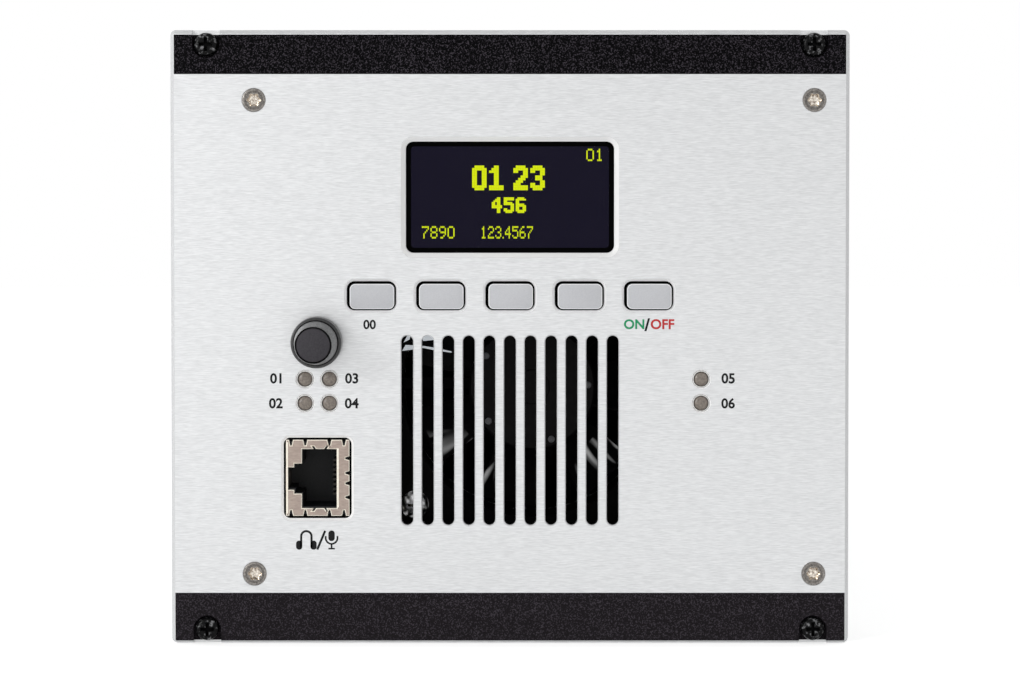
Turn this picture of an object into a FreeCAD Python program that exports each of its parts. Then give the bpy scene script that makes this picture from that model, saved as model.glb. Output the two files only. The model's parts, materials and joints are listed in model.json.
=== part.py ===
"""Plug-in VHF transmitter module for a 3U rack: front panel 28 HP wide, chassis behind it.

Frame: millimetres, +X to the right, +Y to the rear, +Z up. The origin lies on the back face
of the front panel, in the middle of its four rack screws, so the panel reaches forward to
-panel_thickness and the chassis reaches back from zero.
"""
import FreeCAD, Part
import math
import os
import re

import Sketcher

# --- driving dimensions ----------------------------------------------------------------------

SIZES = {
    # front panel: three rack units high, 28 rack widths of 5.08 less the side gap
    "panel_width": 141.9,
    "panel_height": 128.4,
    "panel_thickness": 3.0,
    "panel_corner": 1.2,
    "panel_bevel": 0.8,
    "soft_bevel": 0.5,
    "fine_bevel": 0.2,
    # rack screws, captive in the panel's four corners
    "rack_inset_x": 7.45,
    "rack_inset_z": 2.95,
    "rack_head_radius": 2.4,
    "rack_head_proud": 0.3,
    "rack_neck_radius": 1.05,
    "rack_neck_reach": 0.2,
    "rack_shank_radius": 1.25,
    "rack_shank_reach": 9.0,
    "rack_recess_radius": 2.9,
    "rack_recess_depth": 1.6,
    "rack_cross_arm": 1.5,
    "rack_cross_width": 0.6,
    "retainer_radius": 2.1,
    "recess_depth": 1.1,
    "head_bevel": 0.6,
    # panel screws, countersunk, into the chassis flange
    "panel_screw_inset_x": 5.95,
    "panel_screw_inset_z": 5.4,
    "panel_screw_head": 2.45,
    "panel_screw_shank": 1.25,
    "panel_screw_reach": 6.0,
    "panel_screw_sink": 0.1,
    "panel_screw_gap": 0.05,
    "countersink_angle": 90.0,
    "star_outer": 1.15,
    "star_inner": 0.85,
    "clinch_nut_radius": 2.6,
    "clinch_nut_length": 2.0,
    # display
    "window_inset_z": 25.7,
    "window_width": 43.6,
    "window_height": 23.3,
    "window_corner": 1.6,
    "window_bevel": 1.0,
    "window_sink": 1.5,
    "gasket_fit": 0.2,
    "gasket_lip": 0.8,
    "gasket_proud": 0.3,
    "gasket_flange": 1.7,
    "gasket_thickness": 1.2,
    "display_glass_margin": 3.0,
    "display_glass_thickness": 2.2,
    "display_board_margin": 4.0,
    "display_board_thickness": 1.6,
    "header_length": 40.6,
    "header_width": 2.5,
    "header_inset": 5.2,
    # push buttons
    "button_count": 5,
    "button_pitch": 14.5,
    "button_row_drop": 20.6,
    "button_width": 9.6,
    "button_height": 5.4,
    "button_corner": 1.3,
    "button_gap": 0.35,
    "button_proud": 0.3,
    "button_travel": 0.6,
    "button_edge": 0.2,
    "skirt_margin": 0.9,
    "skirt_thickness": 1.2,
    "skirt_clearance": 0.25,
    "cap_stem_width": 7.0,
    "cap_stem_height": 4.6,
    "cap_length": 8.5,
    "plunger_height": 7.3,
    "plunger_width": 3.8,
    "plunger_depth": 2.8,
    "plunger_stroke_room": 0.4,
    "switch_width": 10.0,
    "switch_rise": 7.0,
    "switch_height": 3.6,
    "switch_floor": 1.0,
    # knob and rotary encoder
    "knob_offset": 0.7875,
    "knob_z": -0.9,
    "knob_gap": 0.9,
    "knob_skirt_radius": 5.3,
    "knob_skirt_length": 4.6,
    "knob_groove_radius": 4.3,
    "knob_groove_width": 0.5,
    "knob_body_radius": 4.55,
    "knob_nose_radius": 3.9,
    "knob_length": 13.1,
    "knob_cap_radius": 3.6,
    "knob_cap_depth": 1.2,
    "knob_cap_sink": 0.1,
    "knob_nose_bevel": 0.3,
    "knob_wall": 0.6,
    "collet_length": 9.0,
    "collet_radius": 3.4,
    "shaft_radius": 3.0,
    "shaft_reach": 8.0,
    "bushing_radius": 3.5,
    "bushing_hole_clearance": 0.2,
    "bushing_sink": 1.0,
    "encoder_width": 11.7,
    "encoder_depth": 6.0,
    "encoder_wall": 0.5,
    "encoder_rotor_radius": 4.6,
    "encoder_rotor_thickness": 2.6,
    "running_gap": 0.05,
    "press_gap": 0.01,
    "push_room": 0.8,
    # indicator lamps
    "lamp_lens_radius": 1.45,
    "lamp_gap": 0.4,
    "lamp_proud": 0.05,
    "lamp_flange_radius": 1.75,
    "lamp_flange_thickness": 0.8,
    "lamp_flange_back": 2.0,
    "lamp_dome": 0.5,
    "lamp_offset": 2.6,
    "lamp_pitch_x": 5.1,
    "lamp_right_x": 40.0,
    "lamp_top_z": -8.75,
    "lamp_pitch_z": 5.05,
    "lamp_spacer_radius": 1.8,
    # ventilation grille in the panel
    "vent_count": 11,
    "vent_pitch": 4.3,
    "vent_slot_width": 2.45,
    "vent_drop": 8.35,
    "vent_rise": 15.65,
    # headset socket, eight contacts, shielded, latch towards the left
    "headset_z": -29.5,
    "headset_width": 13.3,
    "headset_height": 16.0,
    "headset_gap": 0.45,
    "headset_corner": 1.4,
    "headset_sink": 0.4,
    "headset_shell": 0.4,
    "plug_width": 7.1,
    "plug_height": 12.1,
    "plug_depth": 11.0,
    "plug_offset": 0.45,
    "latch_step": 1.6,
    "latch_outer": 6.2,
    "latch_inner": 4.3,
    "contact_count": 8,
    "contact_pitch": 1.02,
    "contact_width": 0.45,
    "contact_rise": 0.9,
    "contact_setback": 2.4,
    # control board behind the panel
    "board_gap": 11.0,
    "board_thickness": 1.6,
    "board_gap_left": 4.95,
    "board_gap_right": 18.05,
    "board_gap_top": 8.0,
    "board_gap_left_leg": 10.5,
    "board_gap_right_leg": 31.0,
    "board_bay_half": 27.0,
    "board_bay_drop": 5.7,
    "spacer_radius": 2.5,
    "spacer_inset": 4.0,
    "spacer_inset_left": 5.8,
    "spacer_inset_bay": 3.2,
    "spacer_rise": 6.5,
    "board_screw_radius": 1.0,
    "board_screw_head": 2.1,
    "board_screw_head_height": 1.3,
    "board_screw_grip": 5.0,
    "screw_clearance": 0.15,
    # fan
    "fan_width": 60.0,
    "fan_depth": 15.0,
    "fan_y": 15.0,
    "fan_x": 4.8,
    "fan_z": -11.7,
    "fan_bore_radius": 28.0,
    "fan_corner": 3.0,
    "fan_screw_pitch": 50.0,
    "fan_screw_radius": 1.9,
    "fan_screw_head": 3.0,
    "fan_screw_head_height": 1.6,
    "fan_hub_radius": 13.7,
    "fan_hub_length": 9.0,
    "fan_cup_wall": 3.0,
    "fan_face_gap": 1.0,
    "fan_stator_radius": 12.7,
    "fan_stator_thickness": 2.0,
    "fan_strut_width": 2.4,
    "fan_strut_overlap": 0.5,
    "fan_pin_radius": 1.0,
    "fan_bearing_radius": 3.0,
    "blade_count": 7,
    "blade_root_sink": 1.0,
    "blade_root_chord": 10.5,
    "blade_tip_chord": 15.0,
    "blade_root_angle": 42.0,
    "blade_tip_angle": 26.0,
    "blade_thickness": 0.8,
    "blade_camber": 1.1,
    "blade_tip_radius": 25.7,
    # chassis
    "chassis_inset_right": 1.4,
    "chassis_inset_z": 9.2,
    "chassis_width": 129.0,
    "chassis_depth": 280.0,
    "sheet": 1.5,
    "flange_width": 9.0,
    "front_flange_side": 4.0,
    "front_flange_tab": 16.0,
    "cover_screw_radius": 1.4,
    "cover_screw_head": 2.6,
    "cover_screw_head_height": 1.5,
    "cover_screw_grip": 5.0,
    "cover_screw_margin": 30.0,
    # inner frame: bulkhead behind the fan, shelf for the power supply
    "frame_sheet": 1.2,
    "frame_side_gap": 0.2,
    "frame_top_gap": 11.0,
    "frame_foot": 10.0,
    "shelf_z": 10.0,
    "shelf_inset_left": 21.45,
    "shelf_rear": 262.0,
    "cable_gate_width": 30.0,
    "cable_gate_height": 14.0,
    "cable_gate_z": 28.0,
    # heatsink and power amplifier
    "heatsink_inset_left": 31.45,
    "heatsink_inset_right": 7.55,
    "heatsink_front": 60.0,
    "heatsink_length": 140.0,
    "heatsink_base_top": -2.0,
    "heatsink_base": 6.0,
    "fin_count": 12,
    "fin_thickness": 2.0,
    "fin_height": 38.0,
    "amplifier_margin": 3.0,
    "amplifier_thickness": 1.6,
    "transistor_width": 10.0,
    "transistor_length": 34.0,
    "transistor_height": 4.0,
    "transistor_gap": 8.0,
    "transformer_side": 16.0,
    "transformer_height": 7.0,
    "transformer_offset": 38.4,
    # exciter board on the left wall, under a shielding can
    "pillar_length": 6.0,
    "pillar_radius": 2.5,
    "exciter_front": 60.0,
    "exciter_length": 140.0,
    "exciter_height": 84.0,
    "exciter_inset": 6.0,
    "shield_length": 90.0,
    "shield_height": 56.0,
    "shield_depth": 9.0,
    "shield_wall": 0.5,
    # power supply
    "supply_inset_right": 13.55,
    "supply_height": 34.0,
    "supply_front": 90.0,
    "supply_length": 140.0,
    "supply_corner": 2.0,
    # rear panel and what it carries
    "exhaust_count": 6,
    "exhaust_pitch": 6.0,
    "exhaust_slot_width": 3.2,
    "exhaust_slot_length": 40.0,
    "exhaust_inset_x": 26.55,
    "exhaust_rise": 33.0,
    "antenna_inset_x": 23.55,
    "antenna_inset_z": 25.0,
    "antenna_flange": 25.4,
    "antenna_flange_thickness": 1.8,
    "antenna_barrel_radius": 7.94,
    "antenna_bore_radius": 4.3,
    "antenna_reach": 10.7,
    "antenna_bore_depth": 9.0,
    "antenna_tail_radius": 6.0,
    "antenna_tail_length": 10.0,
    "antenna_contact_radius": 1.5,
    "antenna_contact_bore": 0.85,
    "antenna_contact_bore_depth": 3.3,
    "antenna_contact_set_back": 2.0,
    "inlet_inset_x": 26.45,
    "inlet_rise": 31.0,
    "inlet_width": 30.7,
    "inlet_height": 22.8,
    "inlet_flange": 2.4,
    "inlet_body_width": 27.0,
    "inlet_body_height": 19.8,
    "inlet_body_depth": 20.0,
    "inlet_mouth_width": 24.4,
    "inlet_mouth_height": 16.2,
    "inlet_mouth_depth": 16.0,
    "inlet_mouth_corner": 3.6,
    "inlet_pin_width": 2.0,
    "inlet_pin_height": 4.0,
    "inlet_pin_length": 13.0,
    "inlet_pin_pitch": 7.0,
    "inlet_pin_rise": 2.0,
    "cutout_clearance": 0.2,
    "remote_inset_x": 31.45,
    "remote_inset_z": 27.0,
    "remote_flange_width": 39.2,
    "remote_flange_height": 12.5,
    "remote_flange_thickness": 0.8,
    "remote_shell_width": 25.0,
    "remote_shell_height": 8.3,
    "remote_shell_slope": 1.4,
    "remote_shell_reach": 5.8,
    "remote_body_depth": 10.0,
    "remote_row_count": 8,
    "remote_hole_radius": 0.55,
    "remote_hole_pitch": 2.77,
    "remote_hole_rows": 2.84,
    "remote_hole_depth": 5.0,
    "remote_lock_span": 33.3,
    "remote_lock_radius": 2.4,
    "remote_lock_length": 5.0,
    "remote_lock_bore": 1.4,
    "earth_inset_x": 16.45,
    "earth_z": 2.0,
    "earth_radius": 2.5,
    "earth_reach": 14.0,
    "earth_nut_across": 8.0,
    "earth_nut_thickness": 3.0,
}

# --- places that follow from the driving dimensions --------------------------------------------

PLACES = {
    "panel_front": "-panel_thickness",
    "recess_floor": "panel_front + rack_recess_depth",
    "rack_x": "panel_width/2 - rack_inset_x",
    "rack_z": "panel_height/2 - rack_inset_z",
    "chassis_height": "panel_height - 2*chassis_inset_z",
    "chassis_right": "panel_width/2 - chassis_inset_right",
    "chassis_left": "chassis_right - chassis_width",
    "chassis_x": "chassis_right - chassis_width/2",
    "chassis_bottom": "-chassis_height/2",
    "chassis_top": "chassis_height/2",
    "floor_top": "chassis_bottom + sheet",
    "cover_bottom": "chassis_top - sheet",
    "panel_screw_left": "chassis_left + panel_screw_inset_x",
    "panel_screw_right": "chassis_right - panel_screw_inset_x",
    "panel_screw_z": "chassis_top - panel_screw_inset_z",
    "panel_screw_hole": "panel_screw_shank + screw_clearance",
    "window_z": "chassis_top - window_inset_z",
    "button_z": "window_z - button_row_drop",
    "board_front": "board_gap",
    "board_back": "board_gap + board_thickness",
    "board_left": "chassis_left + sheet + board_gap_left",
    "board_right": "chassis_right - sheet - board_gap_right",
    "board_top": "chassis_top - board_gap_top",
    "board_left_leg": "chassis_bottom + board_gap_left_leg",
    "board_right_leg": "chassis_bottom + board_gap_right_leg",
    "board_bay_top": "button_z - board_bay_drop",
    "button_first": "-button_pitch*(button_count - 1)/2",
    "button_opening_width": "button_width + 2*button_gap",
    "button_opening_height": "button_height + 2*button_gap",
    "button_opening_corner": "button_corner + button_gap",
    "button_front": "panel_front - button_proud",
    "cap_back": "button_front + cap_length",
    "switch_front": "board_front - switch_height",
    "plunger_front": "board_front - plunger_height",
    "plunger_hollow_end": "board_front - switch_floor",
    "plunger_back": "plunger_hollow_end - button_travel - plunger_stroke_room",
    "glass_front": "gasket_thickness",
    "glass_back": "glass_front + display_glass_thickness",
    "display_board_back": "glass_back + display_board_thickness",
    "header_z": "board_top - header_inset",
    "gasket_width": "window_width - 2*gasket_fit",
    "gasket_height": "window_height - 2*gasket_fit",
    "lens_width": "gasket_width - 2*gasket_lip",
    "lens_height": "gasket_height - 2*gasket_lip",
    "lens_corner": "window_corner/2",
    "vent_first": "-vent_pitch*(vent_count - 1)/2",
    "vent_left": "vent_first - vent_slot_width/2",
    "vent_top": "button_z - vent_drop",
    "vent_low": "chassis_bottom + vent_rise",
    "vent_z": "(vent_top + vent_low)/2",
    "vent_slot_length": "vent_top - vent_low",
    "knob_x": "(chassis_left + vent_left)/2 + knob_offset",
    "knob_back": "panel_front - knob_gap",
    "knob_front": "knob_back - knob_length",
    "shaft_front": "knob_back - shaft_reach",
    "encoder_front": "board_front - encoder_depth",
    "encoder_hollow_front": "encoder_front + encoder_wall",
    "encoder_hollow_back": "board_front - encoder_wall",
    "encoder_rotor_back": "encoder_hollow_front + encoder_rotor_thickness + running_gap",
    "bushing_front": "panel_front + bushing_sink",
    "shaft_back": "encoder_hollow_back - push_room",
    "lamp_hole_radius": "lamp_lens_radius + lamp_gap",
    "lamp_front": "panel_front - lamp_proud",
    "lamp_left_x": "knob_x - lamp_offset",
    "lamp_flange_front": "lamp_flange_back - lamp_flange_thickness",
    "vent_reach": "(vent_slot_length - vent_slot_width)/2",
    "headset_x": "knob_x",
    "headset_front": "panel_front + headset_sink",
    "plug_x": "headset_x + plug_offset",
    "plug_left": "plug_x - plug_width/2",
    "plug_right": "plug_x + plug_width/2",
    "plug_back": "headset_front + plug_depth",
    "fan_back": "fan_y + fan_depth",
    "frame_front": "fan_back",
    "frame_back": "fan_back + frame_sheet",
    "frame_top": "chassis_top - frame_top_gap",
    "shelf_left": "chassis_left + shelf_inset_left",
    "fan_screw_reach": "fan_screw_pitch/2",
    "hub_back": "fan_face_gap + fan_hub_length",
    "cup_floor": "fan_face_gap + fan_cup_wall",
    "rear_front": "chassis_depth",
    "rear_back": "chassis_depth + sheet",
    "heatsink_left": "chassis_left + heatsink_inset_left",
    "heatsink_right": "chassis_right - heatsink_inset_right",
    "heatsink_width": "heatsink_right - heatsink_left",
    "heatsink_x": "(heatsink_left + heatsink_right)/2",
    "heatsink_rear": "heatsink_front + heatsink_length",
    "heatsink_base_bottom": "heatsink_base_top - heatsink_base",
    "fin_foot": "heatsink_base_bottom - fin_height",
    "fin_pitch": "(heatsink_width - fin_thickness)/(fin_count - 1)",
    "amplifier_top": "heatsink_base_top + amplifier_thickness",
    "exciter_left": "chassis_left + sheet + pillar_length",
    "exciter_right": "exciter_left + board_thickness",
    "exciter_rear": "exciter_front + exciter_length",
    "exciter_middle": "(exciter_front + exciter_rear)/2",
    "pillar_z": "exciter_height/2 - exciter_inset",
    "shelf_top": "shelf_z + frame_sheet",
    "supply_right": "chassis_right - supply_inset_right",
    "supply_width": "supply_right - heatsink_left",
    "supply_x": "(heatsink_left + supply_right)/2",
    "exhaust_x": "chassis_right - exhaust_inset_x",
    "exhaust_z": "chassis_bottom + exhaust_rise",
    "antenna_x": "chassis_right - antenna_inset_x",
    "antenna_z": "chassis_top - antenna_inset_z",
    "inlet_x": "chassis_left + inlet_inset_x",
    "inlet_z": "chassis_bottom + inlet_rise",
    "remote_x": "chassis_left + remote_inset_x",
    "remote_z": "chassis_top - remote_inset_z",
    "earth_x": "chassis_left + earth_inset_x",
    "antenna_flange_back": "rear_back + antenna_flange_thickness",
    "antenna_tip": "antenna_flange_back + antenna_reach",
    "antenna_tail": "rear_back - sheet - antenna_tail_length",
    "inlet_back": "rear_back + inlet_flange",
    "inlet_mouth_floor": "inlet_back - inlet_mouth_depth",
    "remote_flange_back": "rear_back + remote_flange_thickness",
    "remote_tip": "rear_back + remote_shell_reach",
}

# Board pillars, each (x, z), in the board's free corners.
SPACER_SPOTS = [
    ("board_left + spacer_inset_left", "board_top - spacer_inset"),
    ("board_right - spacer_inset", "board_top - spacer_inset"),
    ("board_left + spacer_inset_left", "button_z + spacer_rise"),
    ("-board_bay_half - spacer_inset_bay", "board_left_leg + spacer_inset"),
    ("board_right - spacer_inset", "board_right_leg + spacer_inset"),
]

# A fan blade's middle line: shares of the chord along it, and of the camber above it.
BLADE_STATIONS = [(-0.5, 0), (-0.17, 0.8), (0.17, 0.8), (0.5, 0)]

LOBES = 6
HEXAGON_SIDES = 6
PICK_MARGIN = 0.1
LEVEL_ERROR = 1e-4
SMALLEST_CUT = 1e-6

WORD = re.compile(r"[a-z][a-z_0-9]*")
PLANES = {"front": "XZ_Plane", "top": "XY_Plane", "side": "YZ_Plane"}

doc = FreeCAD.newDocument("transmitter_module")
sheet = doc.addObject("Spreadsheet::Sheet", "Sizes")
for row, (name, number) in enumerate(SIZES.items(), start=1):
    sheet.set(f"A{row}", name)
    sheet.set(f"B{row}", str(number))
    sheet.setAlias(f"B{row}", name)
doc.recompute()

bodies = []


# --- expressions --------------------------------------------------------------------------------

def link(text):
    """Write names of sizes and places as an expression on the sheet's cells."""
    def swap(match):
        word = match.group(0)
        if word in PLACES:
            return "(" + link(PLACES[word]) + ")"
        if word in SIZES:
            return "Sizes." + word
        return word
    return WORD.sub(swap, str(text))


def value(text):
    """The number that an expression gives now."""
    return float(sheet.evalExpression(link(text)))


# --- sketches -----------------------------------------------------------------------------------

def new_body(label):
    body = doc.addObject("PartDesign::Body", label)
    body.Label = label
    body.AllowCompound = True
    bodies.append(body)
    return body


def place(body, x, y, z):
    """Bind the body's place to the sheet."""
    for axis, text in zip("xyz", (x, y, z)):
        body.setExpression(f"Placement.Base.{axis}", link(text))


def origin_feature(body, role):
    return next(item for item in body.Origin.OriginFeatures if item.Role == role)


def new_sketch(body, plane, level):
    """A sketch parallel to one of the body's own planes, at a level along that plane's axis."""
    sketch = body.newObject("Sketcher::SketchObject", "sketch")
    sketch.AttachmentSupport = [(origin_feature(body, PLANES[plane]), "")]
    sketch.MapMode = "FlatFace"
    sign = "-" if plane == "front" else ""
    sketch.setExpression("AttachmentOffset.Base.z", f"{sign}({link(level)})")
    return sketch


def bind(sketch, kind, spots, text):
    """Add a dimension whose size is an expression."""
    index = sketch.addConstraint(Sketcher.Constraint(kind, *spots, value(text)))
    sketch.setExpression(f"Constraints[{index}]", link(text))


def point(u, v):
    return FreeCAD.Vector(u, v, 0)


def circle(x, z, radius):
    def draw(sketch):
        curve = Part.Circle(point(value(x), value(z)), FreeCAD.Vector(0, 0, 1), value(radius))
        index = sketch.addGeometry(curve, False)
        bind(sketch, "Radius", (index,), radius)
        bind(sketch, "DistanceX", (-1, 1, index, 3), x)
        bind(sketch, "DistanceY", (-1, 1, index, 3), z)
    return draw


def polygon(corners):
    """Straight sides through the corners, each an (x, z) pair of expressions."""
    def draw(sketch):
        spots = [point(value(x), value(z)) for x, z in corners]
        first = sketch.GeometryCount
        count = len(spots)
        lines = [Part.LineSegment(spots[i], spots[(i + 1) % count]) for i in range(count)]
        sketch.addGeometry(lines, False)
        joints = [
            Sketcher.Constraint("Coincident", first + i, 2, first + (i + 1) % count, 1)
            for i in range(count)
        ]
        sketch.addConstraint(joints)
        for i, (x, z) in enumerate(corners):
            bind(sketch, "DistanceX", (-1, 1, first + i, 1), x)
            bind(sketch, "DistanceY", (-1, 1, first + i, 1), z)
    return draw


def rectangle(x, z, width, height, radius=None):
    """A rectangle round the middle (x, z), with round corners where a radius is given."""
    left, right = f"({x}) - ({width})/2", f"({x}) + ({width})/2"
    low, high = f"({z}) - ({height})/2", f"({z}) + ({height})/2"
    if radius is None:
        return polygon([(left, low), (right, low), (right, high), (left, high)])

    def draw(sketch):
        x0, x1, z0, z1, r = (value(text) for text in (left, right, low, high, radius))
        first = sketch.GeometryCount
        up = FreeCAD.Vector(0, 0, 1)
        quarter = math.pi/2
        centres = [(x1 - r, z0 + r, 3), (x1 - r, z1 - r, 0), (x0 + r, z1 - r, 1), (x0 + r, z0 + r, 2)]
        ends = [
            ((x0 + r, z0), (x1 - r, z0)), ((x1, z0 + r), (x1, z1 - r)),
            ((x1 - r, z1), (x0 + r, z1)), ((x0, z1 - r), (x0, z0 + r)),
        ]
        for (start, end), (cx, cz, turn) in zip(ends, centres):
            sketch.addGeometry(Part.LineSegment(point(*start), point(*end)), False)
            arc = Part.ArcOfCircle(Part.Circle(point(cx, cz), up, r), turn*quarter, (turn + 1)*quarter)
            sketch.addGeometry(arc, False)
        rules = [
            Sketcher.Constraint("Tangent", first + i, 2, first + (i + 1) % 8, 1) for i in range(8)
        ]
        rules += [Sketcher.Constraint("Horizontal", first + i) for i in (0, 4)]
        rules += [Sketcher.Constraint("Vertical", first + i) for i in (2, 6)]
        rules += [Sketcher.Constraint("Equal", first + 1, first + i) for i in (3, 5, 7)]
        sketch.addConstraint(rules)
        bind(sketch, "Radius", (first + 1,), radius)
        bind(sketch, "DistanceY", (-1, 1, first, 1), low)
        bind(sketch, "DistanceX", (-1, 1, first + 2, 1), right)
        bind(sketch, "DistanceY", (-1, 1, first + 4, 1), high)
        bind(sketch, "DistanceX", (-1, 1, first + 6, 1), left)
    return draw


def slot(x, low, high, radius):
    """An upright slot with round ends, whose end centres are at low and high."""
    def draw(sketch):
        cx, z0, z1, r = (value(text) for text in (x, low, high, radius))
        first = sketch.GeometryCount
        up = FreeCAD.Vector(0, 0, 1)
        sketch.addGeometry([
            Part.LineSegment(point(cx + r, z0), point(cx + r, z1)),
            Part.ArcOfCircle(Part.Circle(point(cx, z1), up, r), 0, math.pi),
            Part.LineSegment(point(cx - r, z1), point(cx - r, z0)),
            Part.ArcOfCircle(Part.Circle(point(cx, z0), up, r), math.pi, 2*math.pi),
        ], False)
        rules = [
            Sketcher.Constraint("Tangent", first + i, 2, first + (i + 1) % 4, 1) for i in range(4)
        ]
        rules += [
            Sketcher.Constraint("Vertical", first),
            Sketcher.Constraint("Equal", first + 1, first + 3),
        ]
        sketch.addConstraint(rules)
        bind(sketch, "Radius", (first + 1,), radius)
        bind(sketch, "DistanceX", (-1, 1, first + 1, 3), x)
        bind(sketch, "DistanceY", (-1, 1, first + 1, 3), high)
        bind(sketch, "DistanceY", (-1, 1, first + 3, 3), low)
    return draw


def cross(x, z, arm, width):
    """The outline of an upright cross, for a screw's recess."""
    turns = [(1, 0), (0, 1), (-1, 0), (0, -1)]
    corners = []
    for u, v in turns:
        for along, across in ((width, width), (arm, width), (arm, f"-{width}")):
            corners.append((
                f"({x}) + ({along})*({u}) + ({across})*({v})",
                f"({z}) + ({along})*({v}) - ({across})*({u})",
            ))
    return polygon(corners)


def star(x, z, outer, inner):
    """The outline of a six-lobed recess."""
    corners = []
    for i in range(2*LOBES):
        reach = outer if i % 2 == 0 else inner
        angle = math.pi*i/LOBES
        corners.append((
            f"({x}) + {reach}*{math.cos(angle):.5f}",
            f"({z}) + {reach}*{math.sin(angle):.5f}",
        ))
    return polygon(corners)


# --- features -----------------------------------------------------------------------------------

def extrude(body, plane, start, end, *outlines):
    """Add material between two levels along the plane's axis."""
    sketch = new_sketch(body, plane, start)
    for outline in outlines:
        outline(sketch)
    feature = body.newObject("PartDesign::Pad", "pad")
    feature.Profile = sketch
    feature.Reversed = plane == "front"
    feature.setExpression("Length", link(f"({end}) - ({start})"))
    doc.recompute()
    return feature


def cut(body, plane, start, end, *outlines):
    """Take material away between two levels along the plane's axis."""
    before = body.Shape.Volume
    sketch = new_sketch(body, plane, start)
    for outline in outlines:
        outline(sketch)
    feature = body.newObject("PartDesign::Pocket", "pocket")
    feature.Profile = sketch
    feature.Reversed = plane != "front"
    feature.setExpression("Length", link(f"({end}) - ({start})"))
    doc.recompute()
    if not feature.Shape.Volume < before - SMALLEST_CUT:
        raise RuntimeError(f"{body.Label}: a pocket from {start} to {end} cuts nothing")
    return feature


def repeat(body, originals, axis, pitch, count):
    """Repeat features along one of the body's own axes."""
    feature = body.newObject("PartDesign::LinearPattern", "row")
    feature.Originals = originals
    feature.Direction = (origin_feature(body, axis), [""])
    feature.setExpression("Length", link(f"({pitch})*(({count}) - 1)"))
    feature.setExpression("Occurrences", link(count))
    body.Tip = feature
    doc.recompute()
    return feature


def revolve(body, corners):
    """Turn a profile of (y, radius) corners about the body's own Y axis."""
    sketch = new_sketch(body, "side", "0")
    polygon(corners)(sketch)
    feature = body.newObject("PartDesign::Revolution", "turned")
    feature.Profile = sketch
    feature.ReferenceAxis = (sketch, ["H_Axis"])
    feature.Angle = 360
    doc.recompute()
    return feature


def rims(feature, axis, level, spots=None, reach=None):
    """Names of the edges that lie wholly at a level along an axis.

    With spots, each a pair of expressions across that axis, only edges within reach of a spot.
    """
    height = value(level)
    across = [i for i in range(3) if i != axis]
    centres = [tuple(value(text) for text in spot) for spot in spots or []]
    limits = [value(text) + PICK_MARGIN for text in reach or ()]
    names = []
    for number, edge in enumerate(feature.Shape.Edges, start=1):
        box = edge.BoundBox
        least, most = (box.XMin, box.YMin, box.ZMin), (box.XMax, box.YMax, box.ZMax)
        flat = abs(least[axis] - height) < LEVEL_ERROR and abs(most[axis] - height) < LEVEL_ERROR
        near = spots is None or any(
            all(
                centre - limit <= least[i] and most[i] <= centre + limit
                for i, centre, limit in zip(across, middle, limits)
            )
            for middle in centres
        )
        if flat and near:
            names.append(f"Edge{number}")
    return names


def bevel(body, feature, edges, size):
    edge_break = body.newObject("PartDesign::Chamfer", "bevel")
    edge_break.Base = (feature, edges)
    edge_break.setExpression("Size", link(size))
    doc.recompute()
    return edge_break


def quadrants(x, z):
    """Four spots, mirrored left to right and top to bottom."""
    return [(x, z), (f"-({x})", z), (f"-({x})", f"-({z})"), (x, f"-({z})")]


def panel_screw_spots():
    return [
        (x, z)
        for x in ("panel_screw_left", "panel_screw_right")
        for z in ("panel_screw_z", "-panel_screw_z")
    ]


def button_spots():
    return [(f"button_first + {i}*button_pitch", "button_z") for i in range(int(value("button_count")))]


def lamp_spots():
    """Four lamps left of the fan and two right of it, each (x, z)."""
    columns = ["lamp_left_x", "lamp_left_x + lamp_pitch_x", "lamp_right_x"]
    return [(x, z) for x in columns for z in ("lamp_top_z", "lamp_top_z - lamp_pitch_z")]


# --- front panel and its screws -------------------------------------------------------------------

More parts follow.
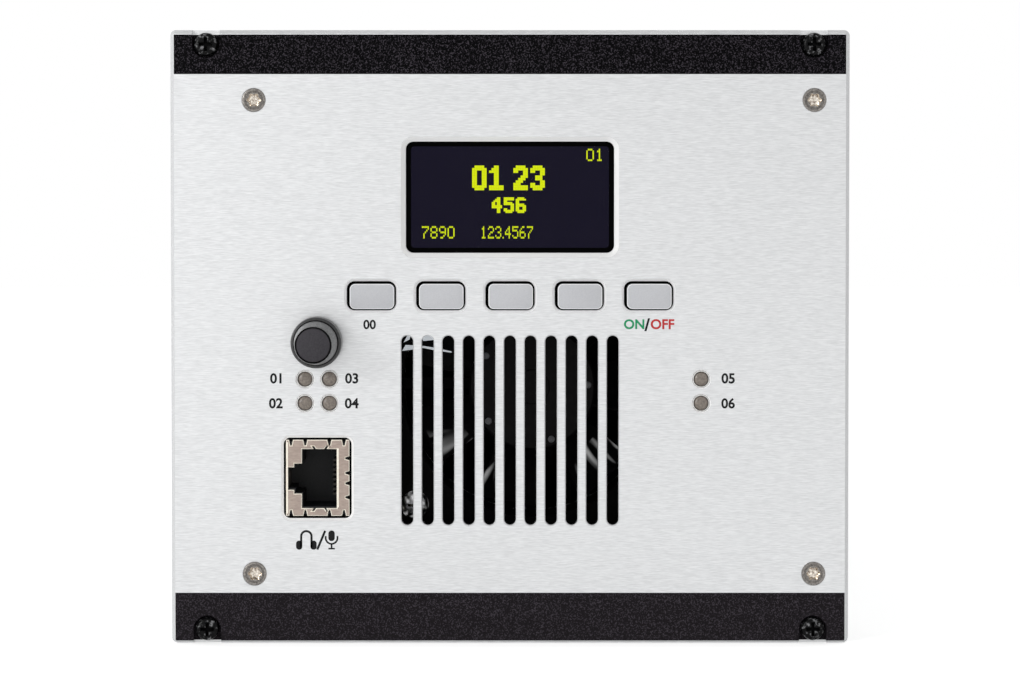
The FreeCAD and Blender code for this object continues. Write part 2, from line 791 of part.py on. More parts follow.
def make_front_panel():
    body = new_body("front_panel")
    plate = extrude(body, "front", "panel_front", "0",
                    rectangle("0", "0", "panel_width", "panel_height", "panel_corner"))
    bevel(body, plate, rims(plate, 1, "panel_front"), "panel_bevel")

    window = cut(body, "front", "panel_front", "0",
                 rectangle("0", "window_z", "window_width", "window_height", "window_corner"))
    edges = rims(window, 1, "panel_front", [("0", "window_z")], ("window_width/2", "window_height/2"))
    bevel(body, window, edges, "window_bevel")

    half_width, half_height = "button_opening_width/2", "button_opening_height/2"
    holes = cut(body, "front", "panel_front", "0", *[
        rectangle(x, z, "button_opening_width", "button_opening_height", "button_opening_corner")
        for x, z in button_spots()
    ])
    edges = rims(holes, 1, "panel_front", button_spots(), (half_width, half_height))
    bevel(body, holes, edges, "soft_bevel")

    cut(body, "front", "panel_front", "0",
        circle("knob_x", "knob_z", "bushing_radius + bushing_hole_clearance"))
    lamps = cut(body, "front", "panel_front", "0",
                *[circle(x, z, "lamp_hole_radius") for x, z in lamp_spots()])
    edges = rims(lamps, 1, "panel_front", lamp_spots(), ("lamp_hole_radius", "lamp_hole_radius"))
    bevel(body, lamps, edges, "fine_bevel")

    jack = cut(body, "front", "panel_front", "0",
               rectangle("headset_x", "headset_z", "headset_width + 2*headset_gap",
                         "headset_height + 2*headset_gap", "headset_corner"))
    edges = rims(jack, 1, "panel_front", [("headset_x", "headset_z")],
                 ("headset_width/2 + headset_gap", "headset_height/2 + headset_gap"))
    bevel(body, jack, edges, "soft_bevel")

    first = cut(body, "front", "panel_front", "0",
                slot("vent_first", "vent_z - vent_reach", "vent_z + vent_reach", "vent_slot_width/2"))
    grille = repeat(body, [first], "X_Axis", "vent_pitch", "vent_count")
    edges = rims(grille, 1, "panel_front", [("0", "vent_z")],
                 ("vent_slot_width/2 - vent_first", "vent_slot_length/2"))
    bevel(body, grille, edges, "fine_bevel")

    past_edge = "panel_height/2 + rack_recess_radius"
    for x in ("rack_x", "-rack_x"):
        cut(body, "front", "panel_front", "recess_floor",
            slot(x, "rack_z", past_edge, "rack_recess_radius"),
            slot(x, f"-({past_edge})", "-rack_z", "rack_recess_radius"))
    cut(body, "front", "recess_floor", "0",
        *[circle(x, z, "retainer_radius") for x, z in quadrants("rack_x", "rack_z")])

    sketch = new_sketch(body, "front", "panel_front")
    for x, z in panel_screw_spots():
        circle(x, z, "panel_screw_hole")(sketch)
    doc.recompute()
    hole = body.newObject("PartDesign::Hole", "countersunk_holes")
    hole.Profile = sketch
    hole.DepthType = "ThroughAll"
    hole.HoleCutType = "Countersink"
    hole.setExpression("HoleCutCountersinkAngle", link("countersink_angle"))
    hole.setExpression("Diameter", link("2*panel_screw_hole"))
    hole.setExpression("HoleCutDiameter",
                       link("2*(panel_screw_head + panel_screw_sink + panel_screw_gap)"))
    doc.recompute()


def make_rack_screws():
    body = new_body("rack_screws")
    spots = quadrants("rack_x", "rack_z")
    head_front = "panel_front - rack_head_proud"
    heads = extrude(body, "front", head_front, "recess_floor",
                    *[circle(x, z, "rack_head_radius") for x, z in spots])
    bevel(body, heads, rims(heads, 1, head_front), "head_bevel")
    extrude(body, "front", "recess_floor", "rack_neck_reach",
            *[circle(x, z, "rack_neck_radius") for x, z in spots])
    extrude(body, "front", "rack_neck_reach", "rack_shank_reach",
            *[circle(x, z, "rack_shank_radius") for x, z in spots])
    cut(body, "front", head_front, f"{head_front} + recess_depth",
        *[cross(x, z, "rack_cross_arm", "rack_cross_width/2") for x, z in spots])


def make_screw_retainers():
    body = new_body("screw_retainers")
    rings = []
    for x, z in quadrants("rack_x", "rack_z"):
        rings.append(circle(x, z, "retainer_radius - running_gap"))
        rings.append(circle(x, z, "rack_shank_radius + running_gap"))
    extrude(body, "front", "recess_floor", "0", *rings)


def make_panel_screws():
    body = new_body("panel_screws")
    spots = panel_screw_spots()
    head_front = "panel_front + panel_screw_sink"
    head_back = f"{head_front} + panel_screw_head - panel_screw_shank"
    heads = extrude(body, "front", head_front, head_back,
                    *[circle(x, z, "panel_screw_head") for x, z in spots])
    bevel(body, heads, rims(heads, 1, head_back), "panel_screw_head - panel_screw_shank - press_gap")
    extrude(body, "front", head_back, "panel_screw_reach",
            *[circle(x, z, "panel_screw_shank") for x, z in spots])
    cut(body, "front", head_front, f"{head_front} + recess_depth",
        *[star(x, z, "star_outer", "star_inner") for x, z in spots])


# --- display ----------------------------------------------------------------------------------

def make_display():
    window = new_body("display_window")
    extrude(window, "front", "panel_front + window_sink", "glass_front",
            rectangle("0", "window_z", "lens_width", "lens_height", "lens_corner"))

    gasket = new_body("display_gasket")
    extrude(gasket, "front", "panel_front + window_sink - gasket_proud", "glass_front",
            rectangle("0", "window_z", "gasket_width", "gasket_height", "window_corner - gasket_fit"),
            rectangle("0", "window_z", "lens_width", "lens_height", "lens_corner"))
    extrude(gasket, "front", "0", "glass_front",
            rectangle("0", "window_z", "gasket_width + 2*gasket_flange", "gasket_height + 2*gasket_flange"),
            rectangle("0", "window_z", "lens_width", "lens_height", "lens_corner"))

    panel = new_body("display_panel")
    extrude(panel, "front", "glass_front", "glass_back",
            rectangle("0", "window_z", "window_width + 2*display_glass_margin",
                      "window_height + display_glass_margin"))

    board = new_body("display_board")
    extrude(board, "front", "glass_back", "display_board_back",
            rectangle("0", "window_z", "window_width + 2*display_board_margin",
                      "window_height + 2*display_board_margin"))
    extrude(board, "front", "display_board_back", "board_front",
            rectangle("0", "header_z", "header_length", "header_width"))


# --- push buttons -------------------------------------------------------------------------------

def make_button(number):
    """One cap on its switch plunger; both slide in together."""
    middle = f"button_first + {number - 1}*button_pitch"
    cap = new_body(f"button_cap_{number}")
    place(cap, middle, "0", "button_z")
    face = extrude(cap, "front", "button_front", "skirt_clearance",
                   rectangle("0", "0", "button_width", "button_height", "button_corner"))
    bevel(cap, face, rims(face, 1, "button_front"), "button_edge")
    extrude(cap, "front", "skirt_clearance", "skirt_clearance + skirt_thickness",
            rectangle("0", "0", "button_width + 2*skirt_margin", "button_height + 2*skirt_margin"))
    extrude(cap, "front", "skirt_clearance + skirt_thickness", "cap_back",
            rectangle("0", "0", "cap_stem_width", "cap_stem_height"))
    cut(cap, "front", "plunger_front", "cap_back", rectangle("0", "0", "plunger_width", "plunger_depth"))

    plunger = new_body(f"switch_plunger_{number}")
    place(plunger, middle, "0", "button_z")
    extrude(plunger, "front", "plunger_front", "plunger_back",
            rectangle("0", "0", "plunger_width", "plunger_depth"))


def make_switch_housings():
    body = new_body("switch_housings")
    extrude(body, "front", "switch_front", "board_front",
            *[rectangle(x, z, "switch_width", "switch_rise") for x, z in button_spots()])
    cut(body, "front", "switch_front", "plunger_hollow_end",
        *[rectangle(x, z, "plunger_width + 4*running_gap", "plunger_depth + 4*running_gap")
          for x, z in button_spots()])


# --- knob and encoder ---------------------------------------------------------------------------

def make_knob():
    knob = new_body("knob_body")
    place(knob, "knob_x", "0", "knob_z")
    groove_back = "knob_back - knob_skirt_length"
    groove_front = f"{groove_back} - knob_groove_width"
    cap_floor = "knob_front + knob_cap_depth"
    revolve(knob, [
        ("knob_back", "collet_radius + press_gap"),
        ("knob_back", "knob_skirt_radius"),
        (groove_back, "knob_skirt_radius - fine_bevel"),
        (groove_back, "knob_groove_radius"),
        (groove_front, "knob_groove_radius"),
        (groove_front, "knob_body_radius"),
        ("knob_front + knob_nose_bevel", "knob_nose_radius"),
        ("knob_front", "knob_nose_radius - knob_nose_bevel/2"),
        ("knob_front", "knob_cap_radius + running_gap"),
        (cap_floor, "knob_cap_radius + running_gap"),
        (cap_floor, "collet_radius - knob_wall"),
        ("knob_back - collet_length", "collet_radius - knob_wall"),
        ("knob_back - collet_length", "collet_radius + press_gap"),
    ])

    cap = new_body("knob_cap")
    place(cap, "knob_x", "0", "knob_z")
    revolve(cap, [
        ("knob_front + knob_cap_sink", "0"),
        ("knob_front + knob_cap_sink", "knob_cap_radius - fine_bevel"),
        ("knob_front + knob_cap_sink + fine_bevel", "knob_cap_radius"),
        (cap_floor, "knob_cap_radius"),
        (cap_floor, "0"),
    ])

    collet = new_body("knob_collet")
    place(collet, "knob_x", "0", "knob_z")
    revolve(collet, [
        ("knob_back - collet_length", "shaft_radius + press_gap"),
        ("knob_back - collet_length", "collet_radius"),
        ("knob_back", "collet_radius"),
        ("knob_back", "shaft_radius + press_gap"),
    ])


def make_encoder():
    shaft = new_body("encoder_shaft")
    place(shaft, "knob_x", "0", "knob_z")
    revolve(shaft, [
        ("shaft_front", "0"),
        ("shaft_front", "shaft_radius - fine_bevel"),
        ("shaft_front + fine_bevel", "shaft_radius"),
        ("knob_back", "shaft_radius"),
        ("knob_back", "shaft_radius - running_gap"),
        ("shaft_back", "shaft_radius - running_gap"),
        ("shaft_back", "0"),
    ])

    rotor = new_body("encoder_rotor")
    place(rotor, "knob_x", "0", "knob_z")
    revolve(rotor, [
        ("encoder_hollow_front + running_gap", "shaft_radius"),
        ("encoder_hollow_front + running_gap", "encoder_rotor_radius"),
        ("encoder_rotor_back", "encoder_rotor_radius"),
        ("encoder_rotor_back", "shaft_radius"),
    ])

    body = new_body("encoder_body")
    place(body, "knob_x", "0", "knob_z")
    extrude(body, "front", "encoder_front", "board_front",
            rectangle("0", "0", "encoder_width", "encoder_width", "soft_bevel"))
    extrude(body, "front", "bushing_front", "encoder_front", circle("0", "0", "bushing_radius"))
    cut(body, "front", "bushing_front", "encoder_hollow_back",
        circle("0", "0", "shaft_radius + running_gap"))
    cut(body, "front", "encoder_hollow_front", "encoder_hollow_back",
        circle("0", "0", "encoder_rotor_radius + 2*running_gap"))


# --- lamps ----------------------------------------------------------------------------------------

def make_lamps():
    for number, (x, z) in enumerate(lamp_spots(), start=1):
        lamp = new_body(f"indicator_lamp_{number}")
        place(lamp, x, "0", z)
        turned = revolve(lamp, [
            ("lamp_front", "0"),
            ("lamp_front", "lamp_lens_radius"),
            ("lamp_flange_front", "lamp_lens_radius"),
            ("lamp_flange_front", "lamp_flange_radius"),
            ("lamp_flange_back", "lamp_flange_radius"),
            ("lamp_flange_back", "0"),
        ])
        bevel(lamp, turned, rims(turned, 1, "lamp_front"), "lamp_dome")

    spacers = new_body("lamp_spacers")
    extrude(spacers, "front", "lamp_flange_back", "board_front",
            *[circle(x, z, "lamp_spacer_radius") for x, z in lamp_spots()])


# --- headset socket ---------------------------------------------------------------------------------

def plug_outline():
    """The plug's space with two steps to the left for its latch."""
    middle = "headset_z"
    return polygon([
        ("plug_right", f"{middle} - plug_height/2"),
        ("plug_right", f"{middle} + plug_height/2"),
        ("plug_left", f"{middle} + plug_height/2"),
        ("plug_left", f"{middle} + latch_outer/2"),
        ("plug_left - latch_step", f"{middle} + latch_outer/2"),
        ("plug_left - latch_step", f"{middle} + latch_inner/2"),
        ("plug_left - 2*latch_step", f"{middle} + latch_inner/2"),
        ("plug_left - 2*latch_step", f"{middle} - latch_inner/2"),
        ("plug_left - latch_step", f"{middle} - latch_inner/2"),
        ("plug_left - latch_step", f"{middle} - latch_outer/2"),
        ("plug_left", f"{middle} - latch_outer/2"),
        ("plug_left", f"{middle} - plug_height/2"),
    ])


def make_headset_socket():
    shield = new_body("headset_shield")
    extrude(shield, "front", "headset_front", "board_front",
            rectangle("headset_x", "headset_z", "headset_width", "headset_height", "soft_bevel"))
    cut(shield, "front", "headset_front", "headset_front + headset_shell", plug_outline())
    cut(shield, "front", "headset_front + headset_shell", "board_front",
        rectangle("headset_x", "headset_z", "headset_width - 2*headset_shell",
                  "headset_height - 2*headset_shell"))

    housing = new_body("headset_housing")
    extrude(housing, "front", "headset_front + headset_shell", "board_front",
            rectangle("headset_x", "headset_z", "headset_width - 2*headset_shell",
                      "headset_height - 2*headset_shell"))
    cut(housing, "front", "headset_front + headset_shell", "plug_back", plug_outline())

    contacts = new_body("headset_contacts")
    spots = [f"headset_z + contact_pitch*({i} - (contact_count - 1)/2)"
             for i in range(int(value("contact_count")))]
    extrude(contacts, "front", "headset_front + contact_setback", "plug_back",
            *[rectangle("plug_right - contact_rise/2", z, "contact_rise", "contact_width") for z in spots])


# --- control board ------------------------------------------------------------------------------------

def make_control_board():
    board = new_body("control_board")
    extrude(board, "front", "board_front", "board_back", polygon([
        ("board_left", "board_top"),
        ("board_left", "board_left_leg"),
        ("-board_bay_half", "board_left_leg"),
        ("-board_bay_half", "board_bay_top"),
        ("board_bay_half", "board_bay_top"),
        ("board_bay_half", "board_right_leg"),
        ("board_right", "board_right_leg"),
        ("board_right", "board_top"),
    ]))
    cut(board, "front", "board_front", "board_back",
        *[circle(x, z, "board_screw_radius + screw_clearance") for x, z in SPACER_SPOTS])

    spacers = new_body("board_spacers")
    extrude(spacers, "front", "0", "board_front", *[circle(x, z, "spacer_radius") for x, z in SPACER_SPOTS])
    cut(spacers, "front", "board_front - board_screw_grip - fine_bevel", "board_front",
        *[circle(x, z, "board_screw_radius + press_gap") for x, z in SPACER_SPOTS])

    screws = new_body("board_screws")
    extrude(screws, "front", "board_front - board_screw_grip", "board_back",
            *[circle(x, z, "board_screw_radius") for x, z in SPACER_SPOTS])
    extrude(screws, "front", "board_back", "board_back + board_screw_head_height",
            *[circle(x, z, "board_screw_head") for x, z in SPACER_SPOTS])


# --- fan ------------------------------------------------------------------------------------------------

def fan_screw_spots():
    reach = "fan_screw_reach"
    return [(f"fan_x + ({x})", f"fan_z + ({z})") for x, z in quadrants(reach, reach)]


def blade_section(chord, angle):
    """A cambered, slanted blade section: axial position across, tangential position up."""
    front_side = [(along, f"blade_camber*{rise} + blade_thickness/2") for along, rise in BLADE_STATIONS]
    rear_side = [(along, f"blade_camber*{rise} - blade_thickness/2")
                 for along, rise in reversed(BLADE_STATIONS)]
    middle = "fan_face_gap + fan_hub_length/2"
    corners = []
    for along, rise in front_side + rear_side:
        corners.append((
            f"{middle} + ({chord})*({along})*sin({angle}) + ({rise})*cos({angle})",
            f"({chord})*({along})*cos({angle}) - ({rise})*sin({angle})",
        ))
    return polygon(corners)


def make_fan():
    frame = new_body("fan_frame")
    place(frame, "fan_x", "fan_y", "fan_z")
    extrude(frame, "front", "0", "fan_depth", rectangle("0", "0", "fan_width", "fan_width", "fan_corner"))
    cut(frame, "front", "0", "fan_depth", circle("0", "0", "fan_bore_radius"))
    cut(frame, "front", "0", "fan_depth",
        *[circle(x, z, "fan_screw_radius + screw_clearance")
          for x, z in quadrants("fan_screw_reach", "fan_screw_reach")])
    stator_front = "fan_depth - fan_stator_thickness"
    strut_length = "2*(fan_bore_radius + fan_strut_overlap)"
    extrude(frame, "front", stator_front, "fan_depth",
            rectangle("0", "0", "fan_strut_width", strut_length))
    extrude(frame, "front", stator_front, "fan_depth",
            rectangle("0", "0", strut_length, "fan_strut_width"))
    extrude(frame, "front", stator_front, "fan_depth", circle("0", "0", "fan_stator_radius"))
    bearing_front = "cup_floor + running_gap"
    extrude(frame, "front", bearing_front, stator_front, circle("0", "0", "fan_bearing_radius"))
    cut(frame, "front", bearing_front, "fan_depth - fine_bevel",
        circle("0", "0", "fan_pin_radius + running_gap"))

    rotor = new_body("fan_rotor")
    place(rotor, "fan_x", "fan_y", "fan_z")
    hub = revolve(rotor, [
        ("fan_face_gap", "0"),
        ("fan_face_gap", "fan_hub_radius - soft_bevel"),
        ("fan_face_gap + soft_bevel", "fan_hub_radius"),
        ("hub_back", "fan_hub_radius"),
        ("hub_back", "fan_bearing_radius + soft_bevel"),
        ("cup_floor", "fan_bearing_radius + soft_bevel"),
        ("cup_floor", "fan_pin_radius"),
        ("fan_depth - soft_bevel", "fan_pin_radius"),
        ("fan_depth - soft_bevel", "0"),
    ])
    root = new_sketch(rotor, "side", "fan_hub_radius - blade_root_sink")
    blade_section("blade_root_chord", "blade_root_angle")(root)
    tip = new_sketch(rotor, "side", "blade_tip_radius")
    blade_section("blade_tip_chord", "blade_tip_angle")(tip)
    doc.recompute()
    blade = rotor.newObject("PartDesign::AdditiveLoft", "blade")
    blade.Profile = root
    blade.Sections = [tip]
    blade.Ruled = True
    doc.recompute()
    ring = rotor.newObject("PartDesign::PolarPattern", "blades")
    ring.Originals = [blade]
    ring.Axis = (origin_feature(rotor, "Y_Axis"), [""])
    ring.Angle = 360
    ring.setExpression("Occurrences", link("blade_count"))
    rotor.Tip = ring
    doc.recompute()
    if not ring.Shape.Volume > hub.Shape.Volume:
        raise RuntimeError("the fan has no blades")

    screws = new_body("fan_screws")
    spots = fan_screw_spots()
    head_front = "fan_y - fan_screw_head_height"
    heads = extrude(screws, "front", head_front, "fan_y",
                    *[circle(x, z, "fan_screw_head") for x, z in spots])
    bevel(screws, heads, rims(heads, 1, head_front), "head_bevel")
    extrude(screws, "front", "fan_y", "frame_back + fan_screw_radius",
            *[circle(x, z, "fan_screw_radius") for x, z in spots])
    cut(screws, "front", head_front, f"{head_front} + recess_depth",
        *[cross(x, z, "rack_cross_arm", "rack_cross_width/2") for x, z in spots])


# --- chassis -------------------------------------------------------------------------------------------

def box_between(left, right, low, high):
    """A rectangle from its four sides."""
    return polygon([(left, low), (right, low), (right, high), (left, high)])


def rear_flange():
    """The outline of the tray's rear flange, and the opening inside it."""
    return [
        box_between("chassis_left", "chassis_right", "chassis_bottom", "cover_bottom"),
        box_between("chassis_left + flange_width", "chassis_right - flange_width",
                    "chassis_bottom + flange_width", "cover_bottom - flange_width + sheet"),
    ]


def front_flange():
    """The front flange: wide at the four screws, narrow along the sides between them."""
    left, right = "chassis_left + flange_width", "chassis_right - flange_width"
    far_left, far_right = "chassis_left + front_flange_side", "chassis_right - front_flange_side"
    low, high = "chassis_bottom + flange_width", "cover_bottom - flange_width + sheet"
    low_tab, high_tab = "chassis_bottom + front_flange_tab", "cover_bottom - front_flange_tab"
    return [
        box_between("chassis_left", "chassis_right", "chassis_bottom", "cover_bottom"),
        polygon([
            (left, low), (right, low), (right, low_tab), (far_right, low_tab),
            (far_right, high_tab), (right, high_tab), (right, high), (left, high),
            (left, high_tab), (far_left, high_tab), (far_left, low_tab), (left, low_tab),
        ]),
    ]


def rear_screw_spots():
    inset = "flange_width/2"
    return [
        (x, z)
        for x in (f"chassis_left + {inset}", f"chassis_right - {inset}")
        for z in (f"chassis_bottom + {inset}", "0", f"chassis_top - {inset}")
    ]


def cover_screw_spots():
    inset = "flange_width/2"
    return [
        (x, y)
        for x in (f"chassis_left + {inset}", f"chassis_right - {inset}")
        for y in ("cover_screw_margin", "chassis_depth/2", "chassis_depth - cover_screw_margin")
    ]


def pillar_spots():
    """Pillars of the exciter board, each (y, z)."""
    return [
        (y, z)
        for y in ("exciter_front + exciter_inset", "exciter_rear - exciter_inset")
        for z in ("pillar_z", "-pillar_z")
    ]


def make_tray():
    body = new_body("chassis_tray")
    extrude(body, "front", "0", "chassis_depth", polygon([
        ("chassis_left", "chassis_bottom"),
        ("chassis_right", "chassis_bottom"),
        ("chassis_right", "cover_bottom"),
        ("chassis_right - flange_width", "cover_bottom"),
        ("chassis_right - flange_width", "cover_bottom - sheet"),
        ("chassis_right - sheet", "cover_bottom - sheet"),
        ("chassis_right - sheet", "floor_top"),
        ("chassis_left + sheet", "floor_top"),
        ("chassis_left + sheet", "cover_bottom - sheet"),
        ("chassis_left + flange_width", "cover_bottom - sheet"),
        ("chassis_left + flange_width", "cover_bottom"),
        ("chassis_left", "cover_bottom"),
    ]))
    extrude(body, "front", "0", "sheet", *front_flange())
    extrude(body, "front", "chassis_depth - sheet", "chassis_depth", *rear_flange())
    extrude(body, "front", "sheet", "sheet + clinch_nut_length",
            *[circle(x, z, "clinch_nut_radius") for x, z in panel_screw_spots()])
    cut(body, "front", "0", "sheet + clinch_nut_length",
        *[circle(x, z, "panel_screw_shank + press_gap") for x, z in panel_screw_spots()])
    cut(body, "front", "chassis_depth - sheet", "chassis_depth",
        *[circle(x, z, "cover_screw_radius + press_gap") for x, z in rear_screw_spots()])
    cut(body, "top", "cover_bottom - sheet", "cover_bottom",
        *[circle(x, y, "cover_screw_radius + press_gap") for x, y in cover_screw_spots()])
    extrude(body, "side", "chassis_left + sheet", "exciter_left",
            *[circle(y, z, "pillar_radius") for y, z in pillar_spots()])


def make_cover():
    body = new_body("top_cover")
    extrude(body, "top", "cover_bottom", "chassis_top",
            box_between("chassis_left", "chassis_right", "0", "chassis_depth"))
    holes = cut(body, "top", "cover_bottom", "chassis_top",
                *[circle(x, y, "cover_screw_radius + screw_clearance") for x, y in cover_screw_spots()])
    edges = rims(holes, 2, "chassis_top", cover_screw_spots(), ("cover_screw_head", "cover_screw_head"))
    bevel(body, holes, edges, "cover_screw_head - cover_screw_radius")


def make_chassis_screws():
    body = new_body("chassis_screws")
    rear = rear_screw_spots()
    extrude(body, "front", "rear_back - cover_screw_grip", "rear_back",
            *[circle(x, z, "cover_screw_radius") for x, z in rear])
    head_back = "rear_back + cover_screw_head_height"
    heads = extrude(body, "front", "rear_back", head_back,
                    *[circle(x, z, "cover_screw_head") for x, z in rear])
    bevel(body, heads, rims(heads, 1, head_back), "head_bevel")
    cut(body, "front", f"{head_back} - recess_depth", head_back,
        *[cross(x, z, "rack_cross_arm", "rack_cross_width/2") for x, z in rear])
    top = cover_screw_spots()
    cone = "cover_screw_head - cover_screw_radius - screw_clearance"
    low = f"chassis_top - ({cone})"
    cones = extrude(body, "top", low, "chassis_top",
                    *[circle(x, y, "cover_screw_head - screw_clearance") for x, y in top])
    edges = rims(cones, 2, low, top, ("cover_screw_head", "cover_screw_head"))
    bevel(body, cones, edges, f"{cone} - press_gap")
    extrude(body, "top", "chassis_top - cover_screw_grip", low,
            *[circle(x, y, "cover_screw_radius") for x, y in top])


def make_inner_frame():
    body = new_body("inner_frame")
    left, right = "chassis_left + sheet + frame_side_gap", "chassis_right - sheet - frame_side_gap"
    extrude(body, "front", "frame_front", "frame_back", box_between(left, right, "floor_top", "frame_top"))
    extrude(body, "front", "frame_back", "frame_back + frame_foot",
            box_between(left, right, "floor_top", "floor_top + frame_sheet"))
    extrude(body, "front", "frame_back", "shelf_rear",
            box_between("shelf_left", right, "shelf_z", "shelf_top"))
    extrude(body, "front", "frame_back", "shelf_rear",
            box_between(f"{right} - frame_sheet", right, "shelf_z - frame_foot", "shelf_z"))
    cut(body, "front", "frame_front", "frame_back", circle("fan_x", "fan_z", "fan_bore_radius"))
    cut(body, "front", "frame_front", "frame_back",
        *[circle(x, z, "fan_screw_radius + press_gap") for x, z in fan_screw_spots()])
    cut(body, "front", "frame_front", "frame_back",
        rectangle("chassis_x", "cable_gate_z", "cable_gate_width", "cable_gate_height", "fan_corner"))


# --- electronics inside ---------------------------------------------------------------------------------

def make_heatsink():
    body = new_body("heatsink")
    extrude(body, "front", "heatsink_front", "heatsink_rear",
            box_between("heatsink_left", "heatsink_right", "heatsink_base_bottom", "heatsink_base_top"))
    fin = extrude(body, "front", "heatsink_front", "heatsink_rear",
                  box_between("heatsink_left", "heatsink_left + fin_thickness",
                              "fin_foot", "heatsink_base_bottom"))
    repeat(body, [fin], "X_Axis", "fin_pitch", "fin_count")
    for left in ("heatsink_left", "heatsink_right - fin_thickness"):
        extrude(body, "front", "heatsink_front", "heatsink_rear",
                box_between(left, f"{left} + fin_thickness", "floor_top", "fin_foot"))


def make_amplifier():
    body = new_body("amplifier_board")
    width = "heatsink_width - 2*amplifier_margin"
    length = "heatsink_length - 2*amplifier_margin"
    middle_y = "(heatsink_front + heatsink_rear)/2"
    extrude(body, "top", "heatsink_base_top", "amplifier_top",
            rectangle("heatsink_x", middle_y, width, length))
    extrude(body, "top", "amplifier_top", "amplifier_top + transistor_height",
            *[rectangle(f"heatsink_x {side} (transistor_length + transistor_gap)/2", middle_y,
                        "transistor_length", "transistor_width") for side in ("-", "+")])
    extrude(body, "top", "amplifier_top", "amplifier_top + transformer_height",
            *[rectangle("heatsink_x", f"{middle_y} {side} transformer_offset", "transformer_side",
                        "transformer_side", "fan_corner") for side in ("-", "+")])


def make_exciter():
    board = new_body("exciter_board")
    extrude(board, "side", "exciter_left", "exciter_right",
            rectangle("exciter_middle", "0", "exciter_length", "exciter_height"))

    can = new_body("exciter_shield")
    extrude(can, "side", "exciter_right", "exciter_right + shield_depth",
            rectangle("exciter_middle", "0", "shield_length", "shield_height", "soft_bevel"))
    cut(can, "side", "exciter_right", "exciter_right + shield_depth - shield_wall",
        rectangle("exciter_middle", "0", "shield_length - 2*shield_wall", "shield_height - 2*shield_wall"))


def make_power_supply():
    body = new_body("power_supply")
    extrude(body, "front", "supply_front", "supply_front + supply_length",
            rectangle("supply_x", "shelf_top + supply_height/2", "supply_width", "supply_height",
                      "supply_corner"))


# --- rear panel -----------------------------------------------------------------------------------------

def shell_outline(grow="0"):
    """The D-shaped outline of the remote socket's shell."""
    half = f"(remote_shell_width/2 + {grow})"
    tall = f"(remote_shell_height/2 + {grow})"
    return polygon([
        (f"remote_x - {half}", f"remote_z + {tall}"),
        (f"remote_x - {half} + remote_shell_slope", f"remote_z - {tall}"),
        (f"remote_x + {half} - remote_shell_slope", f"remote_z - {tall}"),
        (f"remote_x + {half}", f"remote_z + {tall}"),
    ])


def lock_spots():
    return [(f"remote_x {side} remote_lock_span/2", "remote_z") for side in ("-", "+")]


def make_rear_panel():
    body = new_body("rear_panel")
    extrude(body, "front", "rear_front", "rear_back",
            box_between("chassis_left", "chassis_right", "chassis_bottom", "chassis_top"))
    reach = "(exhaust_slot_length - exhaust_slot_width)/2"
    first = cut(body, "front", "rear_front", "rear_back",
                slot("exhaust_x - exhaust_pitch*(exhaust_count - 1)/2", f"exhaust_z - {reach}",
                     f"exhaust_z + {reach}", "exhaust_slot_width/2"))
    repeat(body, [first], "X_Axis", "exhaust_pitch", "exhaust_count")
    cut(body, "front", "rear_front", "rear_back",
        circle("antenna_x", "antenna_z", "antenna_tail_radius + cutout_clearance"))
    cut(body, "front", "rear_front", "rear_back",
        rectangle("inlet_x", "inlet_z", "inlet_body_width + 2*cutout_clearance",
                  "inlet_body_height + 2*cutout_clearance"))
    cut(body, "front", "rear_front", "rear_back", shell_outline("cutout_clearance"))
    cut(body, "front", "rear_front", "rear_back",
        *[circle(x, z, "remote_lock_bore + running_gap") for x, z in lock_spots()])
    cut(body, "front", "rear_front", "rear_back", circle("earth_x", "earth_z", "earth_radius + press_gap"))
    cut(body, "front", "rear_front", "rear_back",
        *[circle(x, z, "cover_screw_radius + screw_clearance") for x, z in rear_screw_spots()])


def make_antenna_socket():
    socket = new_body("antenna_socket")
    extrude(socket, "front", "rear_back", "antenna_flange_back",
            rectangle("antenna_x", "antenna_z", "antenna_flange", "antenna_flange", "panel_corner"))
    barrel = extrude(socket, "front", "antenna_flange_back", "antenna_tip",
                     circle("antenna_x", "antenna_z", "antenna_barrel_radius"))
    bevel(socket, barrel, rims(barrel, 1, "antenna_tip"), "soft_bevel")
    extrude(socket, "front", "antenna_tail", "rear_back",
            circle("antenna_x", "antenna_z", "antenna_tail_radius"))
    cut(socket, "front", "antenna_tail", "antenna_tip",
        circle("antenna_x", "antenna_z", "antenna_bore_radius"))

    floor = "antenna_tip - antenna_bore_depth"
    insulator = new_body("antenna_insulator")
    extrude(insulator, "front", "antenna_tail", floor,
            circle("antenna_x", "antenna_z", "antenna_bore_radius - press_gap"))
    cut(insulator, "front", "antenna_tail", floor,
        circle("antenna_x", "antenna_z", "antenna_contact_radius + press_gap"))

    contact = new_body("antenna_contact")
    tip = "antenna_tip - antenna_contact_set_back"
    extrude(contact, "front", "antenna_tail - soft_bevel", tip,
            circle("antenna_x", "antenna_z", "antenna_contact_radius"))
    cut(contact, "front", f"{tip} - antenna_contact_bore_depth", tip,
        circle("antenna_x", "antenna_z", "antenna_contact_bore"))


def inlet_mouth():
    """The mouth of the mains inlet, with its two lower corners cut off."""
    half, tall, corner = "inlet_mouth_width/2", "inlet_mouth_height/2", "inlet_mouth_corner"
    return polygon([
        (f"inlet_x - {half}", f"inlet_z + {tall} - {corner}"),
        (f"inlet_x - {half}", f"inlet_z - {tall}"),
        (f"inlet_x + {half}", f"inlet_z - {tall}"),
        (f"inlet_x + {half}", f"inlet_z + {tall} - {corner}"),
        (f"inlet_x + {half} - {corner}", f"inlet_z + {tall}"),
        (f"inlet_x - {half} + {corner}", f"inlet_z + {tall}"),
    ])


